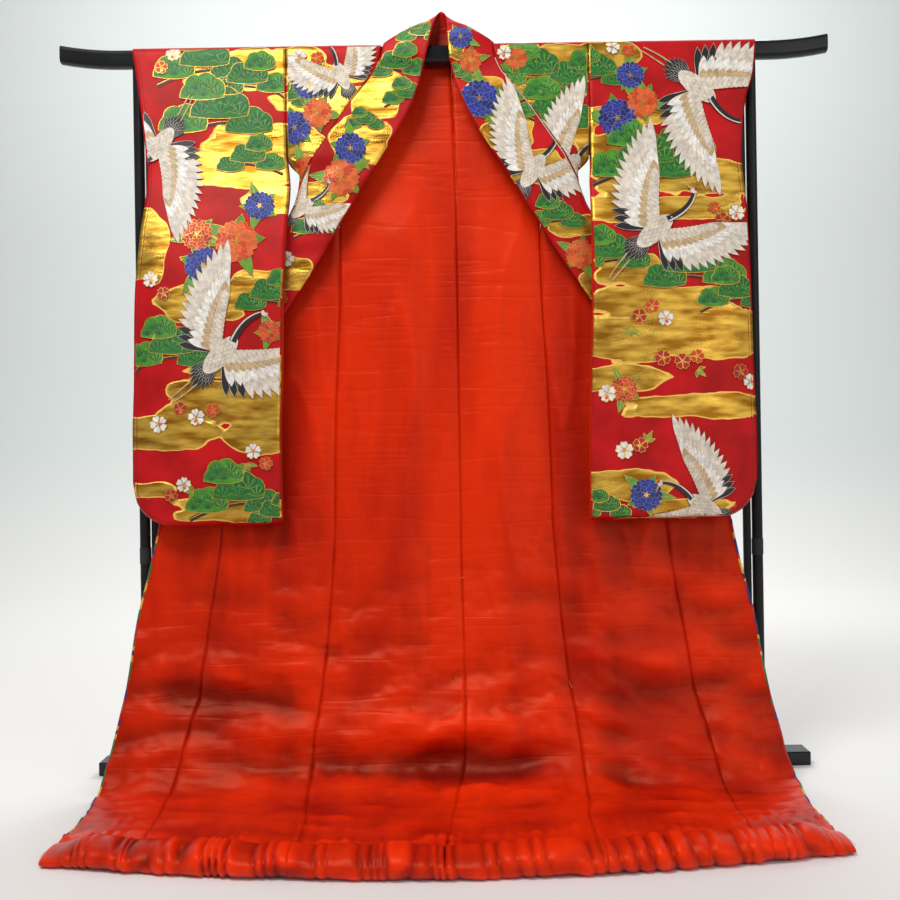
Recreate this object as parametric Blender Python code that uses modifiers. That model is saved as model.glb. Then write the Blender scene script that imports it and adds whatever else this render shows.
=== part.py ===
"""An uchikake wedding kimono hung open on its stand, arms spread and hem laid forward on the floor."""
import math

import bmesh
import bpy
import numpy as np
from mathutils import Vector

# Stand, metres. X runs along the bar, the wearer's lining faces -Y, the floor is Z 0
BAR_TOP = 1.506
BAR_TALL = 0.038
BAR_DEEP = 0.026
BAR_HALF = 0.8035
BAR_END_LENGTH = 0.13
BAR_END_RISE = 0.013
BAR_END_SLANT = 0.008
POLE_X = 0.640
POLE_RADIUS = 0.011
SLIM_POLE_X = 0.6185
SLIM_POLE_RADIUS = 0.0085
JOINT_HEIGHT = 0.45
JOINT_TALL = 0.033
JOINT_RADIUS = 0.0135
FOOT_TALL = 0.028
FOOT_BEAM_DEEP = 0.057
FOOT_BEAM_OUT = 0.734
FOOT_BEAM_IN = 0.52
RUNNER_WIDE = 0.045
RUNNER_FRONT = -0.125
RUNNER_BACK = 0.165

# Cloth, metres
CLOTH = 0.0015
COLLAR_CLOTH = 0.0026
LINING_GAP = 0.0026
SEAM = 0.0004
TOUCH = 0.0003
CENTRE_X = -0.014
NECK_HALF = 0.1155
CREST_Z = 1.5087
CREST_RADIUS_Y = 0.0225
CREST_RADIUS_Z = 0.0212
UNDERARM = 0.262
UNDERARM_SLIT = 0.005
SLIT_TOP = 0.255
SLEEVE_BOTTOM = 0.516
SLEEVE_CORNER = 0.08
HEM_DOWN = 1.868
ROLL_DEEP = 0.088
ROLL_TALL = 0.041
HEM_BOW = 0.085

# The hanging line of the back, seen from the side: depth, height
BACK_LINE = [(0.0225, 1.4875), (0.021, 1.40), (0.012, 1.25), (0.0, 1.0), (-0.02, 0.7), (-0.05, 0.45),
             (-0.085, 0.28), (-0.125, 0.14), (-0.168, 0.048), (-0.213, 0.0115), (-0.265, 0.0026),
             (-0.36, 0.0018), (-0.535, 0.0018)]
# Depth of the front cloth that faces outwards: down from the shoulder, depth
FRONT_DEPTH = [(0.0, -0.0225), (0.06, -0.0225), (0.12, -0.030), (0.22, -0.036), (0.30, -0.038),
               (0.40, -0.035), (0.56, -0.028), (0.72, -0.031), (0.90, -0.045), (1.0, -0.055)]
# Half widths of the opened garment from its middle line:
# down, centre seam, side seam, front seam from the side seam, fold, free edge, fold radius, fold turn
BODY = [
    (0.00, 0.030, 0.313, 0.24, 0.313, 0.019, 0.000, 0),
    (0.04, 0.030, 0.313, 0.24, 0.313, 0.024, 0.000, 0),
    (0.08, 0.030, 0.313, 0.24, 0.313, 0.032, 0.000, 0),
    (0.14, 0.032, 0.313, 0.24, 0.313, 0.052, 0.000, 0),
    (0.195, 0.033, 0.313, 0.24, 0.313, 0.081, 0.000, 0),
    (0.255, 0.034, 0.313, 0.24, 0.313, 0.118, 0.000, 0),
    (0.300, 0.035, 0.272, 0.24, 0.290, 0.147, 0.013, 180),
    (0.345, 0.035, 0.236, 0.24, 0.302, 0.174, 0.017, 180),
    (0.395, 0.035, 0.210, 0.24, 0.332, 0.206, 0.018, 180),
    (0.460, 0.035, 0.209, 0.24, 0.395, 0.245, 0.018, 180),
    (0.560, 0.035, 0.211, 0.24, 0.470, 0.312, 0.016, 180),
    (0.710, 0.035, 0.218, 0.24, 0.540, 0.405, 0.013, 180),
    (0.850, 0.035, 0.222, 0.236, 0.574, 0.505, 0.012, 178),
    (0.930, 0.035, 0.223, 0.234, 0.580, 0.554, 0.013, 140),
    (0.970, 0.035, 0.223, 0.233, 0.583, 0.574, 0.014, 100),
    (1.000, 0.035, 0.223, 0.233, 0.586, 0.583, 0.015, 60),
    (1.100, 0.035, 0.228, 0.236, 0.602, 0.600, 0.015, 30),
    (1.200, 0.036, 0.234, 0.244, 0.622, 0.620, 0.012, 20),
    (1.330, 0.037, 0.245, 0.247, 0.636, 0.634, 0.012, 15),
    (1.450, 0.036, 0.260, 0.255, 0.655, 0.653, 0.010, 8),
    (1.560, 0.020, 0.265, 0.265, 0.669, 0.668, 0.010, 3),
    (1.680, 0.008, 0.254, 0.270, 0.661, 0.660, 0.010, 2),
    (1.868, -0.004, 0.248, 0.266, 0.657, 0.656, 0.010, 2),
]
# The seam where the collar joins the front: down, half width
COLLAR_SEAM = [(0.0, 0.1155), (0.035, 0.118), (0.07, 0.130), (0.095, 0.147), (0.14, 0.182),
               (0.215, 0.232), (0.262, 0.262)]
COLLAR_ACROSS = 0.138
COLLAR_END = 0.90
OKUMI_TOP = 0.51
# The collar above the bar and round the neck: free edge x, y, z, lift x, y, z, neck seam x, y, z
NECK = [
    (0.0245, -0.029, 1.474, 0.072, -0.030, 1.484, 0.1180, -0.0225, 1.478),
    (0.0190, -0.028, 1.507, 0.062, -0.020, 1.545, 0.1130, -0.0100, 1.5095),
    (0.0150, -0.016, 1.540, 0.052, 0.000, 1.568, 0.1070, 0.0140, 1.5085),
    (0.0105, 0.004, 1.566, 0.040, 0.022, 1.570, 0.0850, 0.0262, 1.4960),
    (0.0055, 0.018, 1.581, 0.026, 0.033, 1.550, 0.0480, 0.0268, 1.4850),
    (0.0000, 0.023, 1.588, 0.000, 0.036, 1.535, 0.0000, 0.0268, 1.4810),
]
# Sleeve edges, X from the bar's middle: height, left inner, left outer, right inner, right outer
SLEEVE = [
    (1.515, 0.3280, 0.648, 0.3000, 0.648),
    (1.435, 0.3278, 0.636, 0.2998, 0.640),
    (1.374, 0.3276, 0.627, 0.2996, 0.621),
    (1.285, 0.3276, 0.617, 0.2996, 0.611),
    (1.245, 0.3240, 0.614, 0.2990, 0.610),
    (1.203, 0.3200, 0.614, 0.2960, 0.612),
    (1.100, 0.3280, 0.624, 0.2960, 0.614),
    (0.980, 0.3340, 0.634, 0.2950, 0.616),
    (0.807, 0.3380, 0.638, 0.2890, 0.618),
    (0.705, 0.3420, 0.641, 0.2850, 0.620),
    (0.500, 0.3400, 0.640, 0.2810, 0.617),
]
# Depths of the sleeve's two layers and how far the back one is drawn inside the poles:
# height, front depth, back depth, draw
SLEEVE_DEPTH = [
    (1.4875, -0.0225, 0.0225, 0.000),
    (1.440, -0.024, 0.0225, 0.030),
    (1.390, -0.030, 0.0205, 0.046),
    (1.340, -0.033, 0.008, 0.050),
    (1.290, -0.035, -0.008, 0.036),
    (1.240, -0.040, -0.020, 0.010),
    (1.190, -0.050, -0.036, 0.002),
    (1.120, -0.066, -0.050, 0.001),
    (1.000, -0.078, -0.053, 0.001),
    (0.800, -0.083, -0.054, 0.001),
    (0.640, -0.087, -0.063, 0.001),
    (0.480, -0.090, -0.068, 0.001),
]
# Largest soft folds pressed into the sheet: across, down from, down to, half width, height
FOLDS = [
    (0.12, 0.35, 1.35, 0.060, 0.006),
    (-0.10, 0.30, 1.30, 0.065, 0.007),
    (0.02, 0.90, 1.45, 0.070, -0.006),
    (-0.34, 1.00, 1.50, 0.050, 0.008),
    (-0.50, 1.02, 1.48, 0.045, -0.007),
    (0.34, 1.00, 1.50, 0.050, 0.007),
    (0.50, 1.02, 1.48, 0.045, -0.007),
]

# Grid counts
BACK_CELLS = 6
NECK_CELLS = 2
FRONT_CELLS = 8
OKUMI_CELLS = 6
COLLAR_CELLS = 4
CREST_ROWS = 3
BACK_ROWS = [0.06, 0.14, 0.20, 0.255, 0.30, 0.345, 0.395, 0.46, 0.56, 0.71, 0.85, 1.0, 1.1, 1.2, 1.33,
             1.42, 1.49, 1.545, 1.60, 1.68, 1.77, 1.868]
FOLD_ROWS = [0.425, 0.49, 0.525, 0.60, 0.65, 0.78, 0.89, 0.93, 0.965]
FRONT_ROWS = sorted(BACK_ROWS + FOLD_ROWS)
LINING_FRONT_TOP = 0.515
LINING_OKUMI_TOP = 0.99
LINING_INSET = 0.07
SLEEVE_ACROSS = [0.0, 0.12, 0.30, 0.50, 0.70, 0.80, 0.88, 0.94, 0.98, 1.0]
SLEEVE_ROWS = 15
ROLL_SIDES = 12
ROLL_RINGS = 7

COLLECTION = bpy.data.collections.new("uchikake")


def clear_scene():
    for old in list(bpy.data.objects):
        bpy.data.objects.remove(old, do_unlink=True)
    bpy.context.scene.collection.children.link(COLLECTION)


def material(name, colour, roughness, metallic=0.0):
    made = bpy.data.materials.new(name)
    made.use_nodes = True
    shader = made.node_tree.nodes["Principled BSDF"]
    shader.inputs["Base Color"].default_value = (*colour, 1.0)
    shader.inputs["Roughness"].default_value = roughness
    shader.inputs["Metallic"].default_value = metallic
    return made


def smooth(rows, column, at):
    """A smooth curve through one column of a table, read at a value of its first column."""
    xs = [row[0] for row in rows]
    ys = [row[column] for row in rows]
    if xs[0] > xs[-1]:
        xs, ys = xs[::-1], ys[::-1]
    if at <= xs[0]:
        return ys[0]
    if at >= xs[-1]:
        return ys[-1]
    slopes = [(ys[k + 1] - ys[k]) / (xs[k + 1] - xs[k]) for k in range(len(xs) - 1)]
    k = max(i for i in range(len(xs) - 1) if xs[i] <= at)
    ends = []
    for i in (k, k + 1):
        before = slopes[max(i - 1, 0)]
        after = slopes[min(i, len(slopes) - 1)]
        ends.append(0.0 if before * after <= 0 else 2 * before * after / (before + after))
    width = xs[k + 1] - xs[k]
    t = (at - xs[k]) / width
    return (ys[k] * (1 + 2 * t) * (1 - t) ** 2 + ends[0] * width * t * (1 - t) ** 2
            + ys[k + 1] * t * t * (3 - 2 * t) + ends[1] * width * t * t * (t - 1))


def rise(low, high, at):
    """0 below low, 1 above high, smooth between."""
    t = min(max((at - low) / (high - low), 0.0), 1.0)
    return t * t * (3 - 2 * t)


def back_track():
    """Points down the back's hanging line and their length down from the shoulder's crest."""
    points = []
    for k in range(9):
        angle = math.pi / 2 * k / 8
        points.append((CREST_RADIUS_Y * math.sin(angle),
                       CREST_Z - CREST_RADIUS_Z * (1 - math.cos(angle))))
    steps = len(BACK_LINE) - 1
    table = [(k, y, z) for k, (y, z) in enumerate(BACK_LINE)]
    for k in range(1, steps * 12 + 1):
        points.append((smooth(table, 1, k / 12), smooth(table, 2, k / 12)))
    track = np.array(points)
    lengths = np.concatenate(([0.0], np.cumsum(np.hypot(*np.diff(track, axis=0).T))))
    return track, lengths


TRACK, TRACK_LENGTH = back_track()


def back_yz(down):
    """Depth and height of the back cloth at a length down from the crest."""
    return (float(np.interp(down, TRACK_LENGTH, TRACK[:, 0])),
            float(np.interp(down, TRACK_LENGTH, TRACK[:, 1])))


def front_yz(down):
    """Depth and height of the cloth that hangs before the bar."""
    y, z = back_yz(down)
    if z > CREST_Z - CREST_RADIUS_Z:
        return -y, z
    return smooth(FRONT_DEPTH, 1, down), z


def hem_shift(across, down):
    """The hem bows back towards its two corners."""
    return HEM_BOW * (across / 0.66) ** 2 * rise(1.45, HEM_DOWN, down)


def fold_height(across, down):
    """Soft folds, raised towards the viewer."""
    total = 0.0
    for middle, start, stop, half, height in FOLDS:
        side = math.exp(-((across - middle) / half) ** 2)
        total += height * side * rise(start, start + 0.15, down) * (1 - rise(stop - 0.15, stop, down))
    return total


def side_pull(down):
    """How far the side seam is drawn forward below the arm."""
    return 0.024 * math.exp(-((down - UNDERARM) / 0.05) ** 2)


def section(down):
    """The front's path across at one height, from the side seam to the free edge: x, y, z, turn so far."""
    side, _, fold, edge, radius, turn = [smooth(BODY, c, down) for c in (2, 3, 4, 5, 6, 7)]
    y_back, z = back_yz(down)
    y_front = front_yz(down)[0]
    path = []
    if down <= UNDERARM - 0.004:
        tuck = rise(UNDERARM - 0.09, UNDERARM, down)
        for k in range(41):
            x = side + (edge - side) * k / 40
            near = math.exp(-(abs(side - x) / 0.03) ** 2)
            path.append((x, y_front + 0.014 * tuck * near, z, 0.0))
        return path
    radius = max(radius, 0.004)
    bend = math.radians(max(turn, 0.5))
    start_y = y_back - side_pull(down)
    arc_x = fold - radius if turn > 90 else fold - radius * math.sin(bend)
    for k in range(21):
        path.append((side + (arc_x - side) * k / 21, start_y, z, 0.0))
    for k in range(25):
        angle = bend * k / 24
        path.append((arc_x + radius * math.sin(angle), start_y - radius * (1 - math.cos(angle)), z, angle))
    last_x, last_y = path[-1][0], path[-1][1]
    if turn > 90 and last_x > edge:
        for k in range(1, 21):
            x = last_x + (edge - last_x) * k / 20
            far = 1 - math.exp(-((last_x - x) / 0.04) ** 2)
            y = last_y + (min(y_front, last_y) - last_y) * far if turn > 175 else last_y
            path.append((x, y, z, bend))
    return path


def lengths_of(path):
    points = np.array([p[:2] for p in path])
    return np.concatenate(([0.0], np.cumsum(np.hypot(*np.diff(points, axis=0).T))))


def collar_start(down, path, lengths):
    """Length across the front at which the collar's seam lies."""
    total = lengths[-1]
    if down < COLLAR_SEAM[-1][0]:
        return smooth(BODY, 2, down) - smooth(COLLAR_SEAM, 1, down)
    width = COLLAR_ACROSS * (1 - rise(0.60, COLLAR_END, down))
    width = min(width, total - 0.03)
    return total - width


def spread(path, lengths, start, stop, cells):
    """Places between two lengths, closer together where the path turns."""
    turns = np.array([p[3] for p in path])
    measure = lengths / 0.09 + turns / math.radians(38)
    low, high = np.interp([start, stop], lengths, measure)
    places = np.interp(np.linspace(low, high, cells + 1), measure, lengths)
    places[0], places[-1] = start, stop
    return places


def front_row(down, part, cells):
    """One row of points across a piece of the front: its body length, its okumi or its collar."""
    path = section(down)
    lengths = lengths_of(path)
    total = lengths[-1]
    collar_at = collar_start(down, path, lengths)
    okumi_at = min(smooth(BODY, 3, down), collar_at)
    if part == "body":
        open_side = UNDERARM_SLIT * (1 - rise(0.30, 0.42, down)) if down > UNDERARM else 0.0
        start, stop = SEAM + open_side, okumi_at - SEAM
    elif part == "okumi":
        start, stop = okumi_at + SEAM, collar_at - SEAM
        if down > COLLAR_END:
            stop = total
    else:
        start, stop = collar_at + 2 * SEAM, total
    row = []
    for place in spread(path, lengths, start, stop, cells):
        x, y, z = [float(np.interp(place, lengths, [p[i] for p in path])) for i in range(3)]
        flat = rise(0.5, 0.95, down)
        lift = fold_height(-x, down) * flat * rise(0.02, 0.06, total - place)
        row.append(Vector((x, y + hem_shift(x, down) - lift, z + lift * rise(1.5, 1.6, down) * 0.4)))
    return row


def back_row(down, half_sign):
    """One row of points across the back, from the centre seam to the side seam."""
    centre = smooth(BODY, 1, down) * half_sign
    side = smooth(BODY, 2, down)
    y, z = back_yz(down)
    row = []
    for k in range(BACK_CELLS + 1):
        x = centre + SEAM + (side - SEAM - centre) * k / BACK_CELLS
        if down < 0.25:
            inner = centre + SEAM
            neck_x = inner + (NECK_HALF + SEAM - inner) * k / NECK_CELLS
            out_x = NECK_HALF + SEAM + (side - NECK_HALF - SEAM) * (k - NECK_CELLS) / (BACK_CELLS - NECK_CELLS)
            split_x = neck_x if k <= NECK_CELLS else out_x
            x = split_x + (x - split_x) * rise(0.0, 0.25, down)
        pull = side_pull(down) * math.exp(-((side - x) / 0.04) ** 2)
        lift = fold_height(x * half_sign, down)
        row.append(Vector((x, y - pull + hem_shift(x, down) - lift, z)))
    return row


def place(row, sign):
    """Puts a row measured outwards from the garment's middle on the left (-1) or right (1)."""
    return [Vector((CENTRE_X + sign * p.x, p.y, p.z)) for p in row]


def grid_normals(grid):
    """Average directions at the points of a grid, facing the viewer or the sky."""
    points = np.array([[tuple(p) for p in row] for row in grid])
    along = np.gradient(points, axis=0)
    across = np.gradient(points, axis=1)
    normals = np.cross(across, along)
    return normals / np.maximum(np.linalg.norm(normals, axis=2, keepdims=True), 1e-9)


def moved_out(grid, distance):
    """A grid moved along its own directions, for what lies on a panel."""
    normals = grid_normals(grid)
    return [[p + Vector(normals[r][c]) * distance for c, p in enumerate(row)] for r, row in enumerate(grid)]


def new_object(name, mesh, look):
    made = bpy.data.objects.new(name, mesh)
    mesh.materials.append(look)
    COLLECTION.objects.link(made)
    return made


def cloth_wall(name, grids, look, thickness):
    """Open sheets welded where they meet, given their thickness by Solidify."""
    work = bmesh.new()
    made = []
    for grid in grids:
        made.append([[work.verts.new(p) for p in row] for row in grid])
    for points in made:
        for above, below in zip(points, points[1:]):
            for k in range(len(above) - 1):
                work.faces.new((above[k], above[k + 1], below[k + 1], below[k]))
    bmesh.ops.remove_doubles(work, verts=work.verts, dist=0.00005)
    bmesh.ops.recalc_face_normals(work, faces=work.faces)
    mesh = bpy.data.meshes.new(name)
    work.to_mesh(mesh)
    work.free()
    mesh.shade_smooth()
    made_object = new_object(name, mesh, look)
    wall = made_object.modifiers.new("Wall", "SOLIDIFY")
    wall.thickness = thickness
    wall.offset = 0.0
    return made_object


def crest_downs():
    """Lengths down from the crest to the rows that bend over the bar."""
    quarter = float(TRACK_LENGTH[8])
    return [quarter * k / CREST_ROWS for k in range(CREST_ROWS + 1)]


def front_grid(part, cells, downs, sign):
    return [place(front_row(down, part, cells), sign) for down in downs]


def body_grids(sign):
    """Back and front grids of one body length, and the faces that join them over the shoulder."""
    downs = crest_downs() + BACK_ROWS
    back = [place(back_row(down, sign), sign) for down in downs]
    front = front_grid("body", FRONT_CELLS, crest_downs() + FRONT_ROWS, sign)
    front = [row[::-1] for row in front]
    top = front[0]
    shoulder = back[0][NECK_CELLS:]
    for k, point in enumerate(shoulder):
        top[2 * k] = point.copy()
    for k in range(1, len(top), 2):
        top[k] = (top[k - 1] + top[k + 1]) / 2
    for k in range(NECK_CELLS):
        drop = NECK[-1][8] - 0.0022 + (NECK[2][8] - NECK[-1][8]) * (k / NECK_CELLS) ** 2
        for row, down in zip(back, downs):
            if row[k].z > drop:
                row[k].z = drop
    return back, front


def body_wall(side_name, sign, look):
    back, front = body_grids(sign)
    build_body("body_" + side_name, back, front, look, CLOTH)
    return back, front


def build_body(name, back, front, look, thickness):
    """The back's rows near the neck are cut away, and its top row joins the front's finer one."""
    work = bmesh.new()
    front_verts = [[work.verts.new(p) for p in row] for row in front]
    back_verts = []
    for r, row in enumerate(back):
        verts = []
        for c, p in enumerate(row):
            if r == 0 and c >= NECK_CELLS:
                verts.append(front_verts[0][2 * (c - NECK_CELLS)])
            else:
                verts.append(work.verts.new(p))
        back_verts.append(verts)
    slit_row = CREST_ROWS + 1 + FRONT_ROWS.index(SLIT_TOP)
    for r in range(len(front_verts) - 1):
        above, below = front_verts[r], front_verts[r + 1]
        sewn = FRONT_CELLS // 2 - 1 if r == slit_row else FRONT_CELLS
        for k in range(sewn):
            work.faces.new((above[k], above[k + 1], below[k + 1], below[k]))
    for r in range(len(back_verts) - 1):
        for k in range(BACK_CELLS):
            if k < NECK_CELLS and r < CREST_ROWS:
                continue
            above, below = back_verts[r], back_verts[r + 1]
            corners = [above[k], above[k + 1], below[k + 1], below[k]]
            if r == 0:
                corners.insert(1, front_verts[0][2 * (k - NECK_CELLS) + 1])
            work.faces.new(corners)
    loose = [v for v in work.verts if not v.link_faces]
    bmesh.ops.delete(work, geom=loose, context="VERTS")
    bmesh.ops.recalc_face_normals(work, faces=work.faces)
    mesh = bpy.data.meshes.new(name)
    work.to_mesh(mesh)
    work.free()
    mesh.shade_smooth()
    made = new_object(name, mesh, look)
    wall = made.modifiers.new("Wall", "SOLIDIFY")
    wall.thickness = thickness
    wall.offset = 0.0


def lining_body(side_name, sign, back, front, look):
    """The lining lies on the viewer's side of the back and inside the front."""
    towards = -1 if sign < 0 else 1
    back_in = moved_out(back, -LINING_GAP * towards)
    front_in = moved_out(front, LINING_GAP * towards)
    for row in back_in:
        row[-1] = row[-1].lerp(row[-2], LINING_INSET)
    start = CREST_ROWS + 1
    skip = len([d for d in FRONT_ROWS if d < LINING_FRONT_TOP])
    cloth_wall("lining_back_" + side_name, [back_in[start:]], look, CLOTH)
    cloth_wall("lining_front_" + side_name, [front_in[start + skip:]], look, CLOTH)


def okumi(side_name, sign, brocade, silk):
    downs = [d for d in FRONT_ROWS if d > OKUMI_TOP + 0.01]
    grid = [row[::-1] for row in front_grid("okumi", OKUMI_CELLS, downs, sign)]
    cloth_wall("okumi_" + side_name, [grid], brocade, CLOTH)
    towards = -1 if sign < 0 else 1
    shown = len([d for d in downs if d < LINING_OKUMI_TOP])
    cloth_wall("lining_okumi_" + side_name, [moved_out(grid, LINING_GAP * towards)[shown:]], silk, CLOTH)


def neck_row(values):
    """A bowed row from the collar's free edge, over the lift point, to the neck seam."""
    edge, lift, seam = Vector(values[0:3]), Vector(values[3:6]), Vector(values[6:9])
    row = []
    for k in range(COLLAR_CELLS + 1):
        t = k / COLLAR_CELLS
        row.append(edge * (1 - t) ** 2 + lift * 2 * t * (1 - t) + seam * t * t)
    return row[::-1]


def collar(look):
    downs = [d for d in FRONT_ROWS if d < COLLAR_END - 0.03]
    left = [place(front_row(down, "collar", COLLAR_CELLS), -1) for down in downs][::-1]
    right = [place(front_row(down, "collar", COLLAR_CELLS), 1) for down in downs]
    neck = [neck_row(values) for values in NECK]
    grid = left + [place(row, -1) for row in neck] + [place(row, 1) for row in neck[-2::-1]] + right
    cloth_wall("collar", [grid], look, COLLAR_CLOTH)


def sleeve_bottom(from_outer):
    """The bag's lowest height, with its rounded outer corner."""
    if from_outer >= SLEEVE_CORNER:
        return SLEEVE_BOTTOM
    inside = SLEEVE_CORNER - from_outer
    return SLEEVE_BOTTOM + SLEEVE_CORNER - math.sqrt(max(SLEEVE_CORNER ** 2 - inside ** 2, 0.0))


def sleeve_x(z, across, side_column, drawn=0.0):
    inner = smooth(SLEEVE, side_column, z)
    outer = smooth(SLEEVE, side_column + 1, z) - drawn
    return inner + (outer - inner) * across


def sleeve_loop(across, side_column):
    """One closed loop of the bag: over the bar, down the front, under, and up the back."""
    wide = smooth(SLEEVE, side_column + 1, 0.6) - smooth(SLEEVE, side_column, 0.6)
    low = sleeve_bottom((1 - across) * wide)
    loop = []
    top = CREST_Z - CREST_RADIUS_Z
    rim = math.exp(-((1 - across) / 0.10) ** 2)
    heights = [top + (low + 0.006 - top) * (k / SLEEVE_ROWS) for k in range(SLEEVE_ROWS + 1)]
    for k in range(CREST_ROWS):
        angle = math.pi / 2 * k / CREST_ROWS
        z = top + CREST_RADIUS_Z * math.cos(angle)
        loop.append((sleeve_x(z, across, side_column), -CREST_RADIUS_Y * math.sin(angle), z))
    front, back = [], []
    for z in heights:
        y_front, y_back, drawn = [smooth(SLEEVE_DEPTH, c, z) for c in (1, 2, 3)]
        shut = rim * (1 - rise(1.20, 1.28, z))
        middle = (y_front + y_back) / 2
        slack = 0.006 * math.sin(across * math.pi) * (1 - rise(1.1, 1.4, z))
        half = (y_back - y_front) / 2 * (1 - shut) + 0.0045 * shut
        front.append((sleeve_x(z, across, side_column), middle - half - slack, z))
        back.append((sleeve_x(z, across, side_column, drawn * rise(0.3, 1.0, across)), middle + half, z))
    lowest = (front[-1][0], (front[-1][1] + back[-1][1]) / 2, low)
    loop += front + [lowest] + back[::-1]
    for k in range(CREST_ROWS - 1, 0, -1):
        angle = math.pi / 2 * k / CREST_ROWS
        z = top + CREST_RADIUS_Z * math.cos(angle)
        loop.append((sleeve_x(z, across, side_column), CREST_RADIUS_Y * math.sin(angle), z))
    return loop


def sleeve(name, sign, look):
    side_column = 1 if sign < 0 else 3
    work = bmesh.new()
    rings = []
    for across in SLEEVE_ACROSS:
        rings.append([work.verts.new((sign * x, y, z)) for x, y, z in sleeve_loop(across, side_column)])
    for a, b in zip(rings, rings[1:]):
        for k in range(len(a)):
            follow = (k + 1) % len(a)
            work.faces.new((a[k], a[follow], b[follow], b[k]))
    bmesh.ops.recalc_face_normals(work, faces=work.faces)
    mesh = bpy.data.meshes.new(name)
    work.to_mesh(mesh)
    work.free()
    mesh.shade_smooth()
    made = new_object(name, mesh, look)
    wall = made.modifiers.new("Wall", "SOLIDIFY")
    wall.thickness = CLOTH
    wall.offset = 0.0


def roll_ring(across, swell):
    """A flat-bottomed oval across the hem, its back edge just clear of the panels."""
    y_back = back_yz(HEM_DOWN)[0] + hem_shift(across, HEM_DOWN) - 2 * TOUCH
    ring = []
    for k in range(ROLL_SIDES):
        angle = 2 * math.pi * k / ROLL_SIDES
        y = y_back - ROLL_DEEP / 2 + ROLL_DEEP / 2 * math.cos(angle)
        if math.cos(angle) > 0 and math.sin(angle) < 0:
            y = y_back - 0.04 * ROLL_DEEP * math.sin(angle) ** 2
        z = ROLL_TALL * swell * (0.42 + 0.58 * math.sin(angle))
        ring.append((across, y, max(z, 0.0)))
    return ring


def roll_spans():
    """The hem roll's lengths between seams, signed from the garment's middle."""
    centre, side, front, edge = [smooth(BODY, c, HEM_DOWN) for c in (1, 2, 3, 5)]
    seam = side + front
    return [("okumi_left", -edge, -seam), ("front_left", -seam, -side), ("back_left", -side, centre),
            ("back_right", centre, side), ("front_right", side, seam), ("okumi_right", seam, edge)]


def hem_roll(look):
    for name, start, stop in roll_spans():
        work = bmesh.new()
        rings = []
        for k in range(ROLL_RINGS + 1):
            t = k / ROLL_RINGS
            across = start + SEAM + (stop - start - 2 * SEAM) * t
            swell = 0.88 + 0.12 * math.sin(math.pi * t)
            corner = 1 - rise(0.60, 0.66, abs(across)) * 0.55
            rings.append([work.verts.new((CENTRE_X + x, y, z))
                          for x, y, z in roll_ring(across, swell * corner)])
        for a, b in zip(rings, rings[1:]):
            for k in range(ROLL_SIDES):
                follow = (k + 1) % ROLL_SIDES
                work.faces.new((a[k], a[follow], b[follow], b[k]))
        work.faces.new(rings[0])
        work.faces.new(rings[-1][::-1])
        bmesh.ops.recalc_face_normals(work, faces=work.faces)
        mesh = bpy.data.meshes.new(name)
        work.to_mesh(mesh)
        work.free()
        mesh.shade_smooth()
        new_object("hem_roll_" + name, mesh, look)


def bar_ring(x):
    """The bar's rounded section at one place along it, lifted towards the ends."""
    past = max(abs(x) - (BAR_HALF - BAR_END_LENGTH), 0.0) / BAR_END_LENGTH
    corner = 0.009
    ring = []
    for middle_y, middle_z, start in ((1, 1, 0), (-1, 1, 90), (-1, -1, 180), (1, -1, 270)):
        for step in (0, 45, 90):
            angle = math.radians(start + step)
            y = middle_y * (BAR_DEEP / 2 - corner) + corner * math.cos(angle)
            z = middle_z * (BAR_TALL / 2 - corner) + corner * math.sin(angle)
            slant = math.copysign(BAR_END_SLANT * z / BAR_TALL * (past > 0.99), x)
            ring.append((x + slant, y, BAR_TOP - BAR_TALL / 2 + z + BAR_END_RISE * past ** 2))
    return ring


def crossbar(look):
    reach = BAR_HALF - BAR_END_SLANT / 2
    start = BAR_HALF - BAR_END_LENGTH
    outer = [start + (reach - start) * k / 5 for k in range(6)]
    stations = [-x for x in outer[::-1]] + outer
    work = bmesh.new()
    rings = [[work.verts.new(p) for p in bar_ring(x)] for x in stations]
    for a, b in zip(rings, rings[1:]):
        for k in range(len(a)):
            follow = (k + 1) % len(a)
            work.faces.new((a[k], a[follow], b[follow], b[k]))
    work.faces.new(rings[0])
    work.faces.new(rings[-1][::-1])
    bmesh.ops.recalc_face_normals(work, faces=work.faces)
    mesh = bpy.data.meshes.new("crossbar")
    work.to_mesh(mesh)
    work.free()
    mesh.shade_smooth()
    new_object("crossbar", mesh, look)


def rod(name, x, low, high, radius, look, sides=16):
    """An upright round rod with flat ends."""
    work = bmesh.new()
    bmesh.ops.create_cone(work, cap_ends=True, segments=sides, radius1=radius, radius2=radius,
                          depth=high - low)
    bmesh.ops.translate(work, verts=work.verts, vec=(0, 0, (high + low) / 2))
    mesh = bpy.data.meshes.new(name)
    work.to_mesh(mesh)
    work.free()
    mesh.set_sharp_from_angle(angle=math.radians(40))
    made = new_object(name, mesh, look)
    made.location.x = x
    return made


def box_mesh(name, low, high, look):
    """A plain block between two corners with eased edges."""
    work = bmesh.new()
    bmesh.ops.create_cube(work, size=1.0)
    size = Vector(high) - Vector(low)
    bmesh.ops.scale(work, verts=work.verts, vec=size)
    bmesh.ops.translate(work, verts=work.verts, vec=(Vector(high) + Vector(low)) / 2)
    mesh = bpy.data.meshes.new(name)
    work.to_mesh(mesh)
    work.free()
    made = new_object(name, mesh, look)
    ease = made.modifiers.new("Ease", "BEVEL")
    ease.width = 0.002
    ease.segments = 1
    return made


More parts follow.
